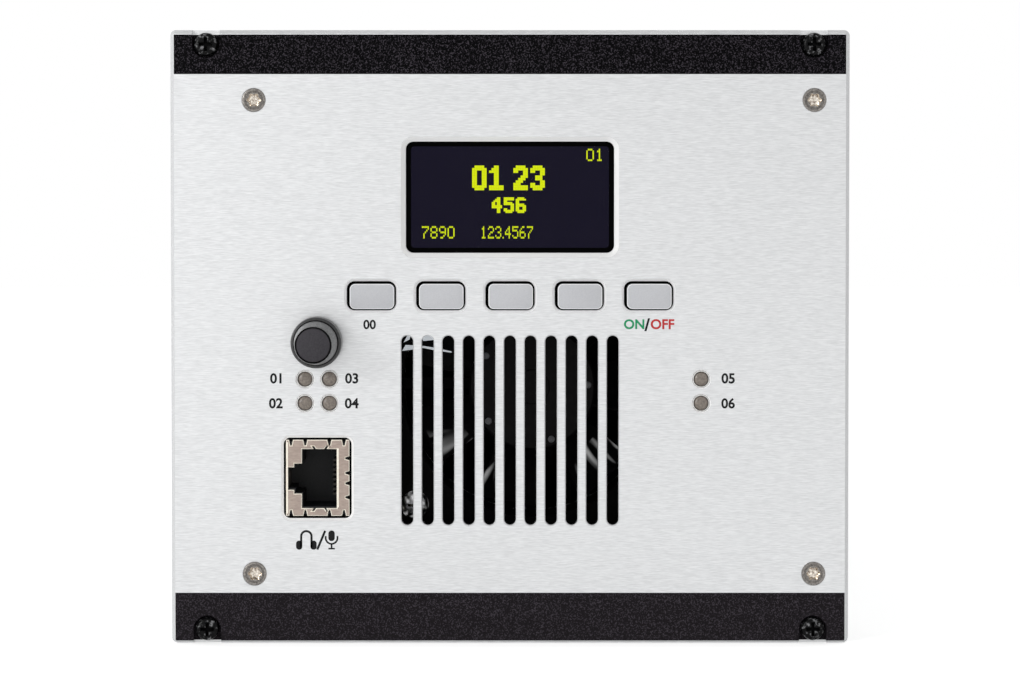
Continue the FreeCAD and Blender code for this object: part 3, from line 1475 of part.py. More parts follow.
def make_mains_inlet():
    body = new_body("mains_inlet")
    extrude(body, "front", "rear_back", "inlet_back",
            rectangle("inlet_x", "inlet_z", "inlet_width", "inlet_height", "panel_corner"))
    extrude(body, "front", "inlet_back - inlet_flange - inlet_body_depth", "rear_back",
            rectangle("inlet_x", "inlet_z", "inlet_body_width", "inlet_body_height"))
    cut(body, "front", "inlet_mouth_floor", "inlet_back", inlet_mouth())

    pins = new_body("mains_pins")
    spots = [
        ("inlet_x - inlet_pin_pitch", "inlet_z - inlet_pin_rise"),
        ("inlet_x", "inlet_z + inlet_pin_rise"),
        ("inlet_x + inlet_pin_pitch", "inlet_z - inlet_pin_rise"),
    ]
    tip = "inlet_mouth_floor + inlet_pin_length"
    blades = extrude(pins, "front", "inlet_mouth_floor", tip,
                     *[rectangle(x, z, "inlet_pin_width", "inlet_pin_height") for x, z in spots])
    bevel(pins, blades, rims(blades, 1, tip), "soft_bevel")


def make_remote_socket():
    body = new_body("remote_socket")
    extrude(body, "front", "rear_back", "remote_flange_back",
            rectangle("remote_x", "remote_z", "remote_flange_width", "remote_flange_height",
                      "panel_corner"))
    extrude(body, "front", "remote_flange_back", "remote_tip", shell_outline())
    extrude(body, "front", "rear_back - sheet - remote_body_depth", "rear_back", shell_outline())
    upper = int(value("remote_row_count"))
    rows = ((upper, "remote_z + remote_hole_rows/2"), (upper - 1, "remote_z - remote_hole_rows/2"))
    holes = [
        circle(f"remote_x + remote_hole_pitch*({i} - ({count} - 1)/2)", z, "remote_hole_radius")
        for count, z in rows
        for i in range(count)
    ]
    cut(body, "front", "remote_tip - remote_hole_depth", "remote_tip", *holes)
    cut(body, "front", "rear_back", "remote_flange_back",
        *[circle(x, z, "remote_lock_bore + running_gap") for x, z in lock_spots()])

    locks = new_body("remote_locks")
    extrude(locks, "front", "remote_flange_back", "remote_flange_back + remote_lock_length",
            *[circle(x, z, "remote_lock_radius") for x, z in lock_spots()])
    extrude(locks, "front", "rear_front - remote_lock_length", "remote_flange_back",
            *[circle(x, z, "remote_lock_bore") for x, z in lock_spots()])
    cut(locks, "front", "remote_flange_back", "remote_flange_back + remote_lock_length",
        *[circle(x, z, "remote_lock_bore") for x, z in lock_spots()])


def hexagon(x, z, across):
    """A hexagon by its width across flats."""
    reach = f"({across})/{math.sqrt(3):.6f}"
    turns = [2*math.pi*i/HEXAGON_SIDES for i in range(HEXAGON_SIDES)]
    return polygon([
        (f"({x}) + {reach}*{math.cos(turn):.6f}", f"({z}) + {reach}*{math.sin(turn):.6f}")
        for turn in turns
    ])


def make_earth_stud():
    body = new_body("earth_stud")
    tip = "rear_back + earth_reach"
    shank = extrude(body, "front", "rear_front - earth_nut_thickness", tip,
                    circle("earth_x", "earth_z", "earth_radius"))
    bevel(body, shank, rims(shank, 1, tip), "soft_bevel")
    extrude(body, "front", "rear_back", "rear_back + earth_nut_thickness",
            hexagon("earth_x", "earth_z", "earth_nut_across"))
    extrude(body, "front", "rear_front - earth_nut_thickness", "rear_front",
            hexagon("earth_x", "earth_z", "earth_nut_across"))


# --- build, check, write ------------------------------------------------------------------------------

make_front_panel()
make_rack_screws()
make_screw_retainers()
make_panel_screws()
make_display()
for button_number in range(1, int(value("button_count")) + 1):
    make_button(button_number)
make_switch_housings()
make_knob()
make_encoder()
make_lamps()
make_headset_socket()
make_control_board()
make_fan()
make_tray()
make_cover()
make_chassis_screws()
make_inner_frame()
make_heatsink()
make_amplifier()
make_exciter()
make_power_supply()
make_rear_panel()
make_antenna_socket()
make_mains_inlet()
make_remote_socket()
make_earth_stud()
doc.recompute()

for item in doc.Objects:
    if "Invalid" in item.State or "Error" in item.State:
        raise RuntimeError(f"{item.Label} failed: {item.State}")
for body in bodies:
    if body.Shape.isNull() or not body.Shape.isValid():
        raise RuntimeError(f"{body.Label} has no valid shape")

os.makedirs("parts", exist_ok=True)
for body in bodies:
    body.Shape.exportStep(f"parts/{body.Label}.step")
print(len(bodies), "parts written")
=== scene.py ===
# %% [markdown]
# # A rack transmitter module, dressed for its picture
#
# The module is a brushed metal front with a display, five push buttons, a knob, lamps, a headset
# socket and a fan grille, on a plain sheet-metal chassis. The solids already stand in place. This
# lesson gives each of them its finish, and rebuilds the small turned and stamped pieces whose round
# edges a coarse solid can't show: screws, knob, lamps, socket shield, threads.
#
# Everything is modelled in millimetres and scaled to metres when a piece is finished, because the
# sizes of such a front are known in millimetres.

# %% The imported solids
import json
import math

import bmesh
import bpy
from mathutils import Matrix, Vector


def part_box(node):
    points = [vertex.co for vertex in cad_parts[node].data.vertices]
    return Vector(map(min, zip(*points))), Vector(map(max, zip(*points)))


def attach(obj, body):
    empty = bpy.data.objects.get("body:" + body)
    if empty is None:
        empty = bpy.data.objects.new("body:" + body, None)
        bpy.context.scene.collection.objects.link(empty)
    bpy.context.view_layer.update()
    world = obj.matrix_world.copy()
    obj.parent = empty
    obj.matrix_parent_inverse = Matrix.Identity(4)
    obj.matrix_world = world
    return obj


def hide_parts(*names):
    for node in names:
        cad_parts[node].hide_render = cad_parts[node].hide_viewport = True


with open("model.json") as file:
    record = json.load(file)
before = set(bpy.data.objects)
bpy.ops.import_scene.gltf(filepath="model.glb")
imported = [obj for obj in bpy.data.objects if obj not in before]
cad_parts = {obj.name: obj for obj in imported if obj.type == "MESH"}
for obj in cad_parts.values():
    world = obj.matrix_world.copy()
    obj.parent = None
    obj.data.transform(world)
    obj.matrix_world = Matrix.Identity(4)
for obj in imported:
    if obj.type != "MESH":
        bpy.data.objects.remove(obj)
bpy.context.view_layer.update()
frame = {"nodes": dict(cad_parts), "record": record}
MM = 0.001
panel_low, panel_high = (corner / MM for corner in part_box("front_panel"))
FACE = panel_low.y


def centre_of(low, high):
    """The middle of a box in x and z."""
    return (low.x + high.x) / 2, (low.z + high.z) / 2


def add_object(name, data):
    """A new object in the scene."""
    thing = bpy.data.objects.new(name, data)
    bpy.context.scene.collection.objects.link(thing)
    return thing


print("panel", [round(v, 2) for v in panel_high - panel_low], "front face at y", round(FACE, 2))

# %% [markdown]
# ## The camera
#
# A front like this is pictured straight on, with a long lens, so that its edges stay parallel. The
# lens is worked out from the distance and from how much of the panel's plane the picture shows. The
# camera stands above the panel's middle, because the knob's nose shows low on its skirt. If it only
# tilted down, the panel would narrow towards the bottom by several pixels, so it tilts a little and
# is shifted for the rest. The shift stays small, because it also moves every other view.

# %% The camera
PICTURE_WIDTH = 1020
PIXELS_PER_MM = 4.786
CAMERA_DISTANCE = 640
CAMERA_RISE = 34
CAMERA_TILT = math.radians(1.6)
SENSOR = 36

seen_width = PICTURE_WIDTH / PIXELS_PER_MM
camera_data = bpy.data.cameras.new("front_camera")
camera_data.sensor_width = SENSOR
camera_data.lens = SENSOR * CAMERA_DISTANCE / seen_width
camera_data.clip_start = 0.01
camera = add_object("front_camera", camera_data)
aim_rise = CAMERA_RISE - CAMERA_DISTANCE * math.tan(CAMERA_TILT)
camera_data.shift_y = -aim_rise / seen_width
aim = Vector((0, FACE, aim_rise)) * MM
camera.location = Vector((0, FACE - CAMERA_DISTANCE, CAMERA_RISE)) * MM
camera.rotation_euler = (aim - camera.location).to_track_quat("-Z", "Y").to_euler()
bpy.context.scene.camera = camera
bpy.context.scene.view_settings.view_transform = "Standard"
print("lens", round(camera_data.lens, 1), "mm, shift", round(camera_data.shift_y, 3))

# %% [markdown]
# ## Light and background
#
# The picture is taken in a white tent. The world is plain white to the camera and to mirrors, and a little
# weaker as a lamp. Mirrors see a darker ceiling, which is what turns a bevel that faces upwards grey. One
# soft lamp, far to the left and a little above, gives the knob its shadow, and a large weak one does the same
# for the rear. Two tiny bright lamps at the sides add small glints without lighting anything else much. The
# glints on the black screws are partly painted into their finish, and those on the fan wholly.

# %% The world
AMBIENT = 0.62
CEILING = 0.55
CEILING_START, CEILING_END = 0.30, 0.95
WHITE = (1, 1, 1, 1)

world = bpy.data.worlds.new("white_tent")
bpy.context.scene.world = world
world.use_nodes = True
sky = world.node_tree
sky.nodes.clear()


def add_node(tree, kind, **settings):
    """A node with its plain inputs and properties set by name."""
    node = tree.nodes.new(kind)
    for name, setting in settings.items():
        if hasattr(node, name):
            setattr(node, name, setting)
        else:
            node.inputs[name.replace("_", " ")].default_value = setting
    return node


def join(tree, source, target):
    """Link an input to another node's output, or give it a plain value."""
    if isinstance(source, bpy.types.NodeSocket):
        tree.links.new(source, target)
    else:
        target.default_value = source


def math_node(tree, operation, *operands):
    """A Math node's output; each operand is a socket or a number."""
    node = add_node(tree, "ShaderNodeMath", operation=operation)
    for place, operand in enumerate(operands):
        join(tree, operand, node.inputs[place])
    return node.outputs[0]


def times(tree, first, *others):
    """The product of sockets and numbers; of masks, where all of them hold."""
    for other in others:
        first = math_node(tree, "MULTIPLY", first, other)
    return first


def either(tree, first, *others):
    """The largest of some sockets; of masks, where any of them holds."""
    for other in others:
        first = math_node(tree, "MAXIMUM", first, other)
    return first


def remains(tree, mask):
    """1 where a mask is 0, and 0 where it is 1."""
    return math_node(tree, "SUBTRACT", 1.0, mask)


def map_range(tree, source, low, high, start, end, **settings):
    """A value mapped from low..high to start..end, and held at the ends."""
    node = add_node(tree, "ShaderNodeMapRange", **settings)
    for place, operand in enumerate((source, low, high, start, end)):
        join(tree, operand, node.inputs[place])
    return node.outputs[0]


def is_any_of(tree, rays, *kinds):
    """1 for a ray of any of the kinds that a Light Path node tells apart."""
    return either(tree, *[rays.outputs[f"Is {kind} Ray"] for kind in kinds])


rays = add_node(sky, "ShaderNodeLightPath")
direction = add_node(sky, "ShaderNodeTexCoord")
parts = add_node(sky, "ShaderNodeSeparateXYZ")
join(sky, direction.outputs["Generated"], parts.inputs[0])
ceiling = map_range(sky, parts.outputs["Z"], CEILING_START, CEILING_END, 1.0, CEILING,
                    interpolation_type="SMOOTHSTEP")
mirror_part = times(sky, rays.outputs["Is Glossy Ray"], ceiling)
plain_part = is_any_of(sky, rays, "Camera", "Transmission")
seen_part = either(sky, mirror_part, plain_part)
is_seen = either(sky, rays.outputs["Is Glossy Ray"], plain_part)
lamp_part = times(sky, remains(sky, is_seen), AMBIENT)
background = add_node(sky, "ShaderNodeBackground", Color=WHITE)
join(sky, math_node(sky, "ADD", seen_part, lamp_part), background.inputs["Strength"])
sky_output = add_node(sky, "ShaderNodeOutputWorld")
join(sky, background.outputs[0], sky_output.inputs["Surface"])
print("world:", len(sky.nodes), "nodes")

# %% The lamps


def add_lamp(name, place, watts, side):
    """A square lamp that looks at the panel's middle; its place and side are in millimetres."""
    lamp = bpy.data.lights.new(name, "AREA")
    lamp.energy = watts
    lamp.size = side * MM
    holder = add_object(name, lamp)
    holder.location = Vector(place) * MM
    holder.rotation_euler = (-holder.location).to_track_quat("-Z", "Y").to_euler()
    return holder


lamps = [
    add_lamp("key_lamp", (-760, -850, 330), 4.7, 300),
    add_lamp("rear_lamp", (500, 1100, 700), 1.5, 900),
    add_lamp("left_glint", (-620, -520, 120), 0.45, 70),
    add_lamp("right_glint", (560, -560, 480), 0.45, 70),
]
print("lamps:", [lamp.name for lamp in lamps])

# %% [markdown]
# ## The floor
#
# A wide pale sheet under the module. To the camera it gives part of its own light, so that it fades
# into the background, and it keeps a faint shadow where the module stands.

# %% The floor
FLOOR_SIDE = 4000
FLOOR_LEVEL = panel_low.z - 0.05
FLOOR_GLOW = 0.48

sheet_bm = bmesh.new()
bmesh.ops.create_grid(sheet_bm, x_segments=2, y_segments=2, size=FLOOR_SIDE / 2 * MM)
floor_mesh = bpy.data.meshes.new("floor")
bmesh.ops.translate(sheet_bm, vec=Vector((0, 0, FLOOR_LEVEL)) * MM, verts=sheet_bm.verts)
sheet_bm.to_mesh(floor_mesh)
sheet_bm.free()
floor = add_object("floor", floor_mesh)

floor_finish = bpy.data.materials.new("floor_paper")
floor_finish.use_nodes = True
paper = floor_finish.node_tree
paper.nodes.clear()
paper_rays = add_node(paper, "ShaderNodeLightPath")
paper_seen = is_any_of(paper, paper_rays, "Camera", "Glossy", "Transmission")
paper_light = add_node(paper, "ShaderNodeEmission")
join(paper, times(paper, paper_seen, FLOOR_GLOW), paper_light.inputs["Strength"])
paper_sheet = add_node(paper, "ShaderNodeBsdfDiffuse", Color=(0.86, 0.86, 0.86, 1))
paper_sum = add_node(paper, "ShaderNodeAddShader")
join(paper, paper_light.outputs[0], paper_sum.inputs[0])
join(paper, paper_sheet.outputs[0], paper_sum.inputs[1])
paper_output = add_node(paper, "ShaderNodeOutputMaterial")
join(paper, paper_sum.outputs[0], paper_output.inputs["Surface"])
floor_mesh.materials.append(floor_finish)
print("floor at z", round(FLOOR_LEVEL, 2))

# %% [markdown]
# ## How a finish is made
#
# Every real surface varies a little: moulded plastic has a fine grain, brushed metal has long
# scratches, paint has specks. One helper makes a Principled surface whose colour, roughness and
# relief follow a noise on the object's own coordinates. Its grain is given in millimetres along
# each axis, so that a long grain along X becomes a brushed finish.

# %% A helper for finishes


def paint(red, green, blue):
    """A colour as a screen shows it, 0 to 255, turned into the linear one that shaders use."""
    def linear(part):
        part = part / 255
        return part / 12.92 if part <= 0.04045 else ((part + 0.055) / 1.055) ** 2.4
    return (linear(red), linear(green), linear(blue), 1.0)


def ramp_node(tree, source, stops, colours, **settings):
    """A colour that runs from one to another between two stops of a value."""
    ramp = add_node(tree, "ShaderNodeValToRGB", **settings)
    for element, stop, colour in zip(ramp.color_ramp.elements, stops, colours):
        element.position, element.color = stop, colour
    join(tree, source, ramp.inputs[0])
    return ramp.outputs[0]


def grained(name, dark, light, roughness, grain=0.5, metallic=0.0, specular=0.5, relief=0.01,
            uneven=0.06, detail=3.0, stops=(0.3, 0.7)):
    """A finish between two colours, given as a screen shows them; grain and relief are in millimetres.

    The grain is one size, or one for each axis. The stops say where between its lowest and highest
    value the noise begins to leave the first colour, and where it has reached the second.
    """
    finish = bpy.data.materials.new(name)
    finish.use_nodes = True
    tree = finish.node_tree
    shader = tree.nodes["Principled BSDF"]
    shader.inputs["Metallic"].default_value = metallic
    shader.inputs["Specular IOR Level"].default_value = specular
    sizes = grain if isinstance(grain, tuple) else (grain,) * 3
    stretch = add_node(tree, "ShaderNodeMapping", Scale=[1 / (size * MM) for size in sizes])
    join(tree, add_node(tree, "ShaderNodeTexCoord").outputs["Object"], stretch.inputs["Vector"])
    noise = add_node(tree, "ShaderNodeTexNoise", name="noise", Scale=1.0, Detail=detail)
    join(tree, stretch.outputs[0], noise.inputs["Vector"])
    colours = ramp_node(tree, noise.outputs[0], stops, (paint(*dark), paint(*light)), name="colours")
    join(tree, colours, shader.inputs["Base Color"])
    spread = map_range(tree, noise.outputs[0], 0.0, 1.0, max(roughness - uneven, 0.02),
                       roughness + uneven, name="roughness")
    join(tree, spread, shader.inputs["Roughness"])
    bump = add_node(tree, "ShaderNodeBump", Strength=1.0, Distance=relief * MM)
    join(tree, noise.outputs[0], bump.inputs["Height"])
    join(tree, bump.outputs[0], shader.inputs["Normal"])
    return finish


def glow(finish, strength, colour=WHITE):
    """Let a finish give some light of its own; the strength is a number or a socket."""
    shader = finish.node_tree.nodes["Principled BSDF"]
    shader.inputs["Emission Color"].default_value = colour
    join(finish.node_tree, strength, shader.inputs["Emission Strength"])


def wear(node_name, finish):
    """Give a solid its finish."""
    for place in frame["nodes"][node_name].material_slots:
        place.material = finish


print("a colour of 128 becomes", round(paint(128, 128, 128)[0], 3))

# %% [markdown]
# ## The plain finishes
#
# Nickel, brass, nylon, sheet aluminium and the rest differ only in colour, shine and grain, so they
# all come from the helper. The values are read as paint samples: two close colours, a roughness,
# and the size of the grain.

# %% The plain finishes
# The black plating's pale flecks are painted glints, for the rack screws' heads.
black_with_painted_glints = grained("black_with_painted_glints", (5, 5, 6), (150, 150, 152), 0.3, 0.7,
                        specular=0.1, relief=0.03, stops=(0.54, 0.80))
nickel = grained("bright_nickel", (176, 172, 166), (204, 200, 194), 0.24, 0.6, metallic=1.0, relief=0.003)
warm_nickel = grained("warm_nickel", (152, 138, 130), (172, 157, 147), 0.36, (1.2, 0.3, 0.3),
                      metallic=1.0, relief=0.004)
# The almost white edge finish is a painted highlight, for the shield's rims and two strips on its face.
highlight_on_rims = grained("nickel_edge_highlight", (246, 236, 218), (255, 250, 236), 0.35, 0.5,
                   metallic=0.15, relief=0.002)
black_nylon = grained("black_nylon", (18, 18, 20), (30, 30, 32), 0.42, 0.25, specular=0.35)
socket_black = grained("socket_black", (10, 11, 13), (20, 21, 24), 0.48, 0.4, specular=0.25)
fan_black = grained("fan_black", (22, 20, 21), (31, 29, 30), 0.5, 0.6, specular=0.05)
blades_painted_sheen = grained("blades_painted_sheen", (26, 24, 25), (36, 34, 35), 0.3, 2.0, specular=0.08, relief=0.004)
rubber = grained("gasket_rubber", (1, 1, 1), (4, 4, 4), 0.8, 0.3, specular=0.02)
button_grey = grained("button_grey", (187, 188, 192), (198, 199, 202), 0.55, 0.14, specular=0.3, relief=0.006)
# The rim finish is a painted highlight, for the caps' thin bright front edges.
button_highlight_rim = grained("button_highlight_rim", (232, 233, 235), (246, 247, 248), 0.4, 0.2, specular=0.5, relief=0.002)
brass = grained("turned_brass", (190, 158, 96), (214, 182, 118), 0.3, (0.3, 1.5, 0.3), metallic=1.0)
zinc = grained("die_cast_zinc", (140, 141, 143), (168, 169, 171), 0.45, 0.5, metallic=1.0)
gold = grained("gold_plating", (206, 170, 92), (228, 194, 118), 0.28, 0.3, metallic=1.0)
spring_wire = grained("dull_spring_wire", (38, 37, 35), (54, 52, 49), 0.4, 0.3, metallic=1.0)
sheet_metal = grained("passivated_sheet", (184, 186, 186), (202, 204, 203), 0.54, (0.9, 14.0, 0.9),
                      metallic=1.0, relief=0.003)
anodised = grained("black_anodised", (8, 8, 9), (15, 15, 16), 0.5, (0.5, 22.0, 0.5), specular=0.15,
                   relief=0.01)
powder_coat = grained("grey_powder_coat", (112, 114, 118), (132, 134, 138), 0.6, 0.35, relief=0.03)
insulator = grained("white_insulator", (226, 225, 220), (240, 239, 235), 0.5, 0.4)
board_mask = grained("green_solder_mask", (24, 92, 52), (40, 118, 66), 0.3, 3.0, detail=6.0)

plain_finishes = {
    "screw_retainers": black_nylon, "display_gasket": rubber, "display_board": board_mask,
    "switch_housings": black_nylon, "knob_collet": brass, "encoder_shaft": nickel,
    "encoder_rotor": black_nylon, "encoder_body": zinc, "lamp_spacers": black_nylon,
    "headset_housing": socket_black, "headset_contacts": spring_wire, "control_board": board_mask,
    "board_spacers": brass, "board_screws": nickel, "fan_frame": fan_black, "fan_rotor": blades_painted_sheen,
    "chassis_tray": sheet_metal, "top_cover": sheet_metal, "rear_panel": sheet_metal,
    "inner_frame": sheet_metal, "heatsink": anodised, "amplifier_board": board_mask,
    "exciter_board": board_mask, "exciter_shield": nickel, "power_supply": powder_coat,
    "antenna_insulator": insulator, "antenna_contact": gold, "mains_inlet": socket_black,
    "mains_pins": nickel, "remote_locks": nickel,
}
for number in range(1, 6):
    plain_finishes[f"switch_plunger_{number}"] = black_nylon
for node_name, plain_finish in plain_finishes.items():
    wear(node_name, plain_finish)
print(len(plain_finishes), "solids have a plain finish")

# %% [markdown]
# ## Masks
#
# Print, the painted highlights on the openings' chamfers and the painted shade on their walls are parts of
# one surface that only look different. They could be thin pieces of their own, but print has no thickness, so
# a mask is the better way: a value that is 1 inside a region and 0 outside, worked out from the object's own
# coordinates. It blends one finish into another, and it stays in place when the object moves.

# %% Masks on object coordinates


def between(tree, socket, low, high):
    """1 where a length lies between two limits in millimetres, else 0."""
    middle, half = (low + high) / 2 * MM, (high - low) / 2 * MM
    return math_node(tree, "COMPARE", socket, middle, half)


def within(tree, across, upright, sides, levels):
    """1 inside an upright rectangle, which is given by two sides and two levels in millimetres."""
    return times(tree, between(tree, across, *sides), between(tree, upright, *levels))


def length_of(tree, first, second):
    """How far a spot is from the middle, by its two coordinates."""
    squares = math_node(tree, "ADD", times(tree, first, first), times(tree, second, second))
    return math_node(tree, "SQRT", squares)


def object_axes(tree):
    """The object's own x, y and z."""
    split = add_node(tree, "ShaderNodeSeparateXYZ")
    join(tree, add_node(tree, "ShaderNodeTexCoord").outputs["Object"], split.inputs[0])
    return split.outputs["X"], split.outputs["Y"], split.outputs["Z"]


def blend_colour(tree, share, first, second):
    """A colour mixed between two by a mask; each is a socket or a colour."""
    mix = add_node(tree, "ShaderNodeMix", data_type="RGBA")
    for place, operand in ((0, share), (6, first), (7, second)):
        join(tree, operand, mix.inputs[place])
    return mix.outputs[2]


print("masks ready")

# %% [markdown]
# ## The fan's blades
#
# The blades are a glossy black, and their streaks of light are painted highlights. The lamps hardly reach
# them behind the grille, so the streaks are a weak glow: a long drawn noise by the angle and the radius round
# the fan's axis, masked to the lower outer part of the blades and faded in below the hub.

# %% The fan's blades
frame_low, frame_high = (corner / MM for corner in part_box("fan_frame"))
FAN_X, FAN_Z = centre_of(frame_low, frame_high)
SHEEN = 0.5
SHEEN_REACH = (17.5, 25.0)
SHEEN_SIDE, SHEEN_DROP = 7.0, (-9.5, -14.5)
SHEEN_STOPS = (0.54, 0.84)
STREAKS_PER_RADIAN, STREAKS_PER_MM = 8.0, 0.08

tree = blades_painted_sheen.node_tree
across, _, upright = object_axes(tree)
beside = math_node(tree, "SUBTRACT", across, FAN_X * MM)
above = math_node(tree, "SUBTRACT", upright, FAN_Z * MM)
reach = length_of(tree, beside, above)
angle = math_node(tree, "ARCTAN2", above, beside)
streak_place = add_node(tree, "ShaderNodeCombineXYZ")
join(tree, times(tree, angle, STREAKS_PER_RADIAN), streak_place.inputs[0])
join(tree, times(tree, reach, STREAKS_PER_MM / MM), streak_place.inputs[1])
streaks = add_node(tree, "ShaderNodeTexNoise", Scale=1.0, Detail=1.0, Distortion=0.7)
join(tree, streak_place.outputs[0], streaks.inputs["Vector"])
bright = map_range(tree, streaks.outputs[0], *SHEEN_STOPS, 0.0, SHEEN)
lower = map_range(tree, above, *(drop * MM for drop in SHEEN_DROP), 0.0, 1.0)
off_axis = math_node(tree, "GREATER_THAN", math_node(tree, "ABSOLUTE", beside), SHEEN_SIDE * MM)
# Painted highlights: the streaks glow.
glow(blades_painted_sheen, times(tree, bright, lower, off_axis, between(tree, reach, *SHEEN_REACH)))
print("fan axis at", round(FAN_X, 2), round(FAN_Z, 2))

# %% [markdown]
# ## The front panel
#
# The front is one sheet of aluminium, brushed from side to side, and printed with two black bands that stop
# short of its edges. Inside the bands' mask the metal turns into a dark, slightly speckled ink. The lower
# band is a little greyer and runs a little over the sheet's chamfer. More masks work by depth. The small
# chamfers along every edge are matt, because a cutter leaves them unbrushed. Those of the openings, but not
# of the grille, are painted almost white as a painted highlight. The walls of the openings are painted shade
# in the ink's dark colour.

# %% The panel's finish
BAND_SIDE = 70.15
TOP_BAND = (55.0, 63.25)
LOW_BAND = (-63.7, -53.6)
LOW_INK_DEPTH, LOW_INK_FADE = 0.57, 0.15
SKIN = 0.02
LIT_CHAMFER_AREA = ((-48.5, 48.5), (-39.0, 42.5))
GRILLE = ((-24.5, 24.5), (-41.0, 2.0))
SHADED_WALLS = ((-69.0, 69.0), (-52.0, 15.0))
WALL_START, WALL_END = 0.5, -0.05
CHAMFER_DEPTH = 1.05
CHAMFER_MATT = 0.75
RECESS_RADIUS = 2.9
RECESS_FLOOR = FACE + 1.6
RECESS_SPARE = (0.25, 0.1)
SPECK_SIZE = 0.24
INK_ROUGHER = 0.18

screw_mount = next(m for m in frame["record"]["mounts"] if m["name"] == "rack_screws")
RACK_X = screw_mount["dims"]["spacing_x_mm"] / 2
RACK_Z = screw_mount["dims"]["spacing_y_mm"] / 2

panel_finish = grained("brushed_front", (201, 202, 203), (221, 222, 223), 0.40, (1.8, 0.22, 0.15),
                       metallic=1.0, specular=0.04, relief=0.0013, uneven=0.05, detail=3.5)
tree = panel_finish.node_tree
across, depth_axis, upright = object_axes(tree)
in_low_band = between(tree, upright, *LOW_BAND)
in_bands = either(tree, between(tree, upright, *TOP_BAND), in_low_band)
on_face = math_node(tree, "LESS_THAN", depth_axis, (FACE + SKIN) * MM)
in_low_depth = math_node(tree, "LESS_THAN", depth_axis, (FACE + LOW_INK_DEPTH) * MM)
ink = times(tree, between(tree, across, -BAND_SIDE, BAND_SIDE),
            either(tree, times(tree, on_face, in_bands), times(tree, in_low_band, in_low_depth)))

side_way = math_node(tree, "SUBTRACT", math_node(tree, "ABSOLUTE", across), RACK_X * MM)
up_way = math_node(tree, "SUBTRACT", math_node(tree, "ABSOLUTE", upright), RACK_Z * MM)
from_recess = length_of(tree, side_way, math_node(tree, "MINIMUM", up_way, 0.0))
in_recess = times(tree, in_bands, between(tree, depth_axis, FACE + SKIN, RECESS_FLOOR + RECESS_SPARE[1]),
                  math_node(tree, "LESS_THAN", from_recess, (RECESS_RADIUS + RECESS_SPARE[0]) * MM))
# Painted shade: the walls of the openings take the ink's dark colour.
shaded_walls = times(tree, within(tree, across, upright, *SHADED_WALLS),
                 between(tree, depth_axis, FACE + WALL_START, WALL_END))
dark = either(tree, ink, in_recess, shaded_walls)

on_chamfer = between(tree, depth_axis, FACE + SKIN, FACE + CHAMFER_DEPTH)
bare_metal = remains(tree, times(tree, on_chamfer, CHAMFER_MATT))
# Painted highlight: the chamfers of the openings, but not of the grille, are painted almost white.
chamfer_highlight = times(tree, on_chamfer, within(tree, across, upright, *LIT_CHAMFER_AREA),
                  remains(tree, within(tree, across, upright, *GRILLE)))
metal_colour = blend_colour(tree, chamfer_highlight, tree.nodes["colours"].outputs[0], paint(250, 250, 250))

speck = add_node(tree, "ShaderNodeTexNoise", Scale=1 / (SPECK_SIZE * MM), Detail=2.0)
join(tree, add_node(tree, "ShaderNodeTexCoord").outputs["Object"], speck.inputs["Vector"])
speckled = ramp_node(tree, speck.outputs[0], (0.53, 0.63), (paint(1, 1, 2), paint(58, 54, 60)))
# The ink's colour serves the print and the painted shade on the walls.
ink_and_shade_colour = blend_colour(tree, times(tree, in_low_band, LOW_INK_FADE), speckled, paint(78, 72, 77))

shader = tree.nodes["Principled BSDF"]
join(tree, blend_colour(tree, dark, metal_colour, ink_and_shade_colour), shader.inputs["Base Color"])
join(tree, times(tree, remains(tree, dark), bare_metal), shader.inputs["Metallic"])
roughness = math_node(tree, "ADD", tree.nodes["roughness"].outputs[0], times(tree, dark, INK_ROUGHER))
join(tree, roughness, shader.inputs["Roughness"])
wear("front_panel", panel_finish)
print("panel finish:", len(tree.nodes), "nodes")

# %% [markdown]
# ## Building pieces
#
# Three helpers cover nearly every small piece. One closes a bmesh and puts it on a body. One turns a
# profile, as a lathe does. One fills a flat outline that may have holes, which can then be
# extruded, as a stamping is. Sharp edges are marked by angle, so round walls look round. A profile is
# a list of places along Y with a radius each, and is mostly given from the level of a solid's end.

# %% Helpers for pieces
TURN_STEPS = 64
SHARP = math.radians(32)


def close_mesh(name, bm, finishes, forwards=False):
    """A mesh in metres from a bmesh that was drawn in millimetres; its faces can be turned forwards."""
    bmesh.ops.remove_doubles(bm, verts=bm.verts, dist=0.0005)
    bmesh.ops.recalc_face_normals(bm, faces=bm.faces)
    if forwards:
        bmesh.ops.reverse_faces(bm, faces=[face for face in bm.faces if face.normal.y > 0])
    bmesh.ops.scale(bm, vec=(MM, MM, MM), verts=bm.verts)
    mesh = bpy.data.meshes.new(name)
    bm.to_mesh(mesh)
    bm.free()
    for finish in finishes:
        mesh.materials.append(finish)
    return mesh


def finish_piece(name, bm, body, slot, *finishes, replaced=(), smooth=True):
    """Close a bmesh that was drawn in millimetres, and set it on its body."""
    mesh = close_mesh(name, bm, finishes)
    if smooth:
        mesh.shade_smooth()
        mesh.set_sharp_from_angle(angle=SHARP)
    piece = add_object(name, mesh)
    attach(piece, body)
    if replaced:
        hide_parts(*replaced)
    return piece


def turn(bm, profile, x, z, finish=0, steps=TURN_STEPS):
    """Turn a profile of (y, radius) points about the Y axis through (x, z)."""
    verts = [bm.verts.new((x + radius, y, z)) for y, radius in profile]
    edges = [bm.edges.new(pair) for pair in zip(verts, verts[1:])]
    before = set(bm.faces)
    bmesh.ops.spin(bm, geom=verts + edges, cent=(x, 0, z), axis=(0, 1, 0), angle=2 * math.pi,
                   steps=steps, use_merge=True)
    for face in set(bm.faces) - before:
        face.material_index = finish


def loop_edges(bm, points):
    """A closed loop of edges through (x, y, z) points."""
    verts = [bm.verts.new(point) for point in points]
    return [bm.edges.new(pair) for pair in zip(verts, verts[1:] + verts[:1])]


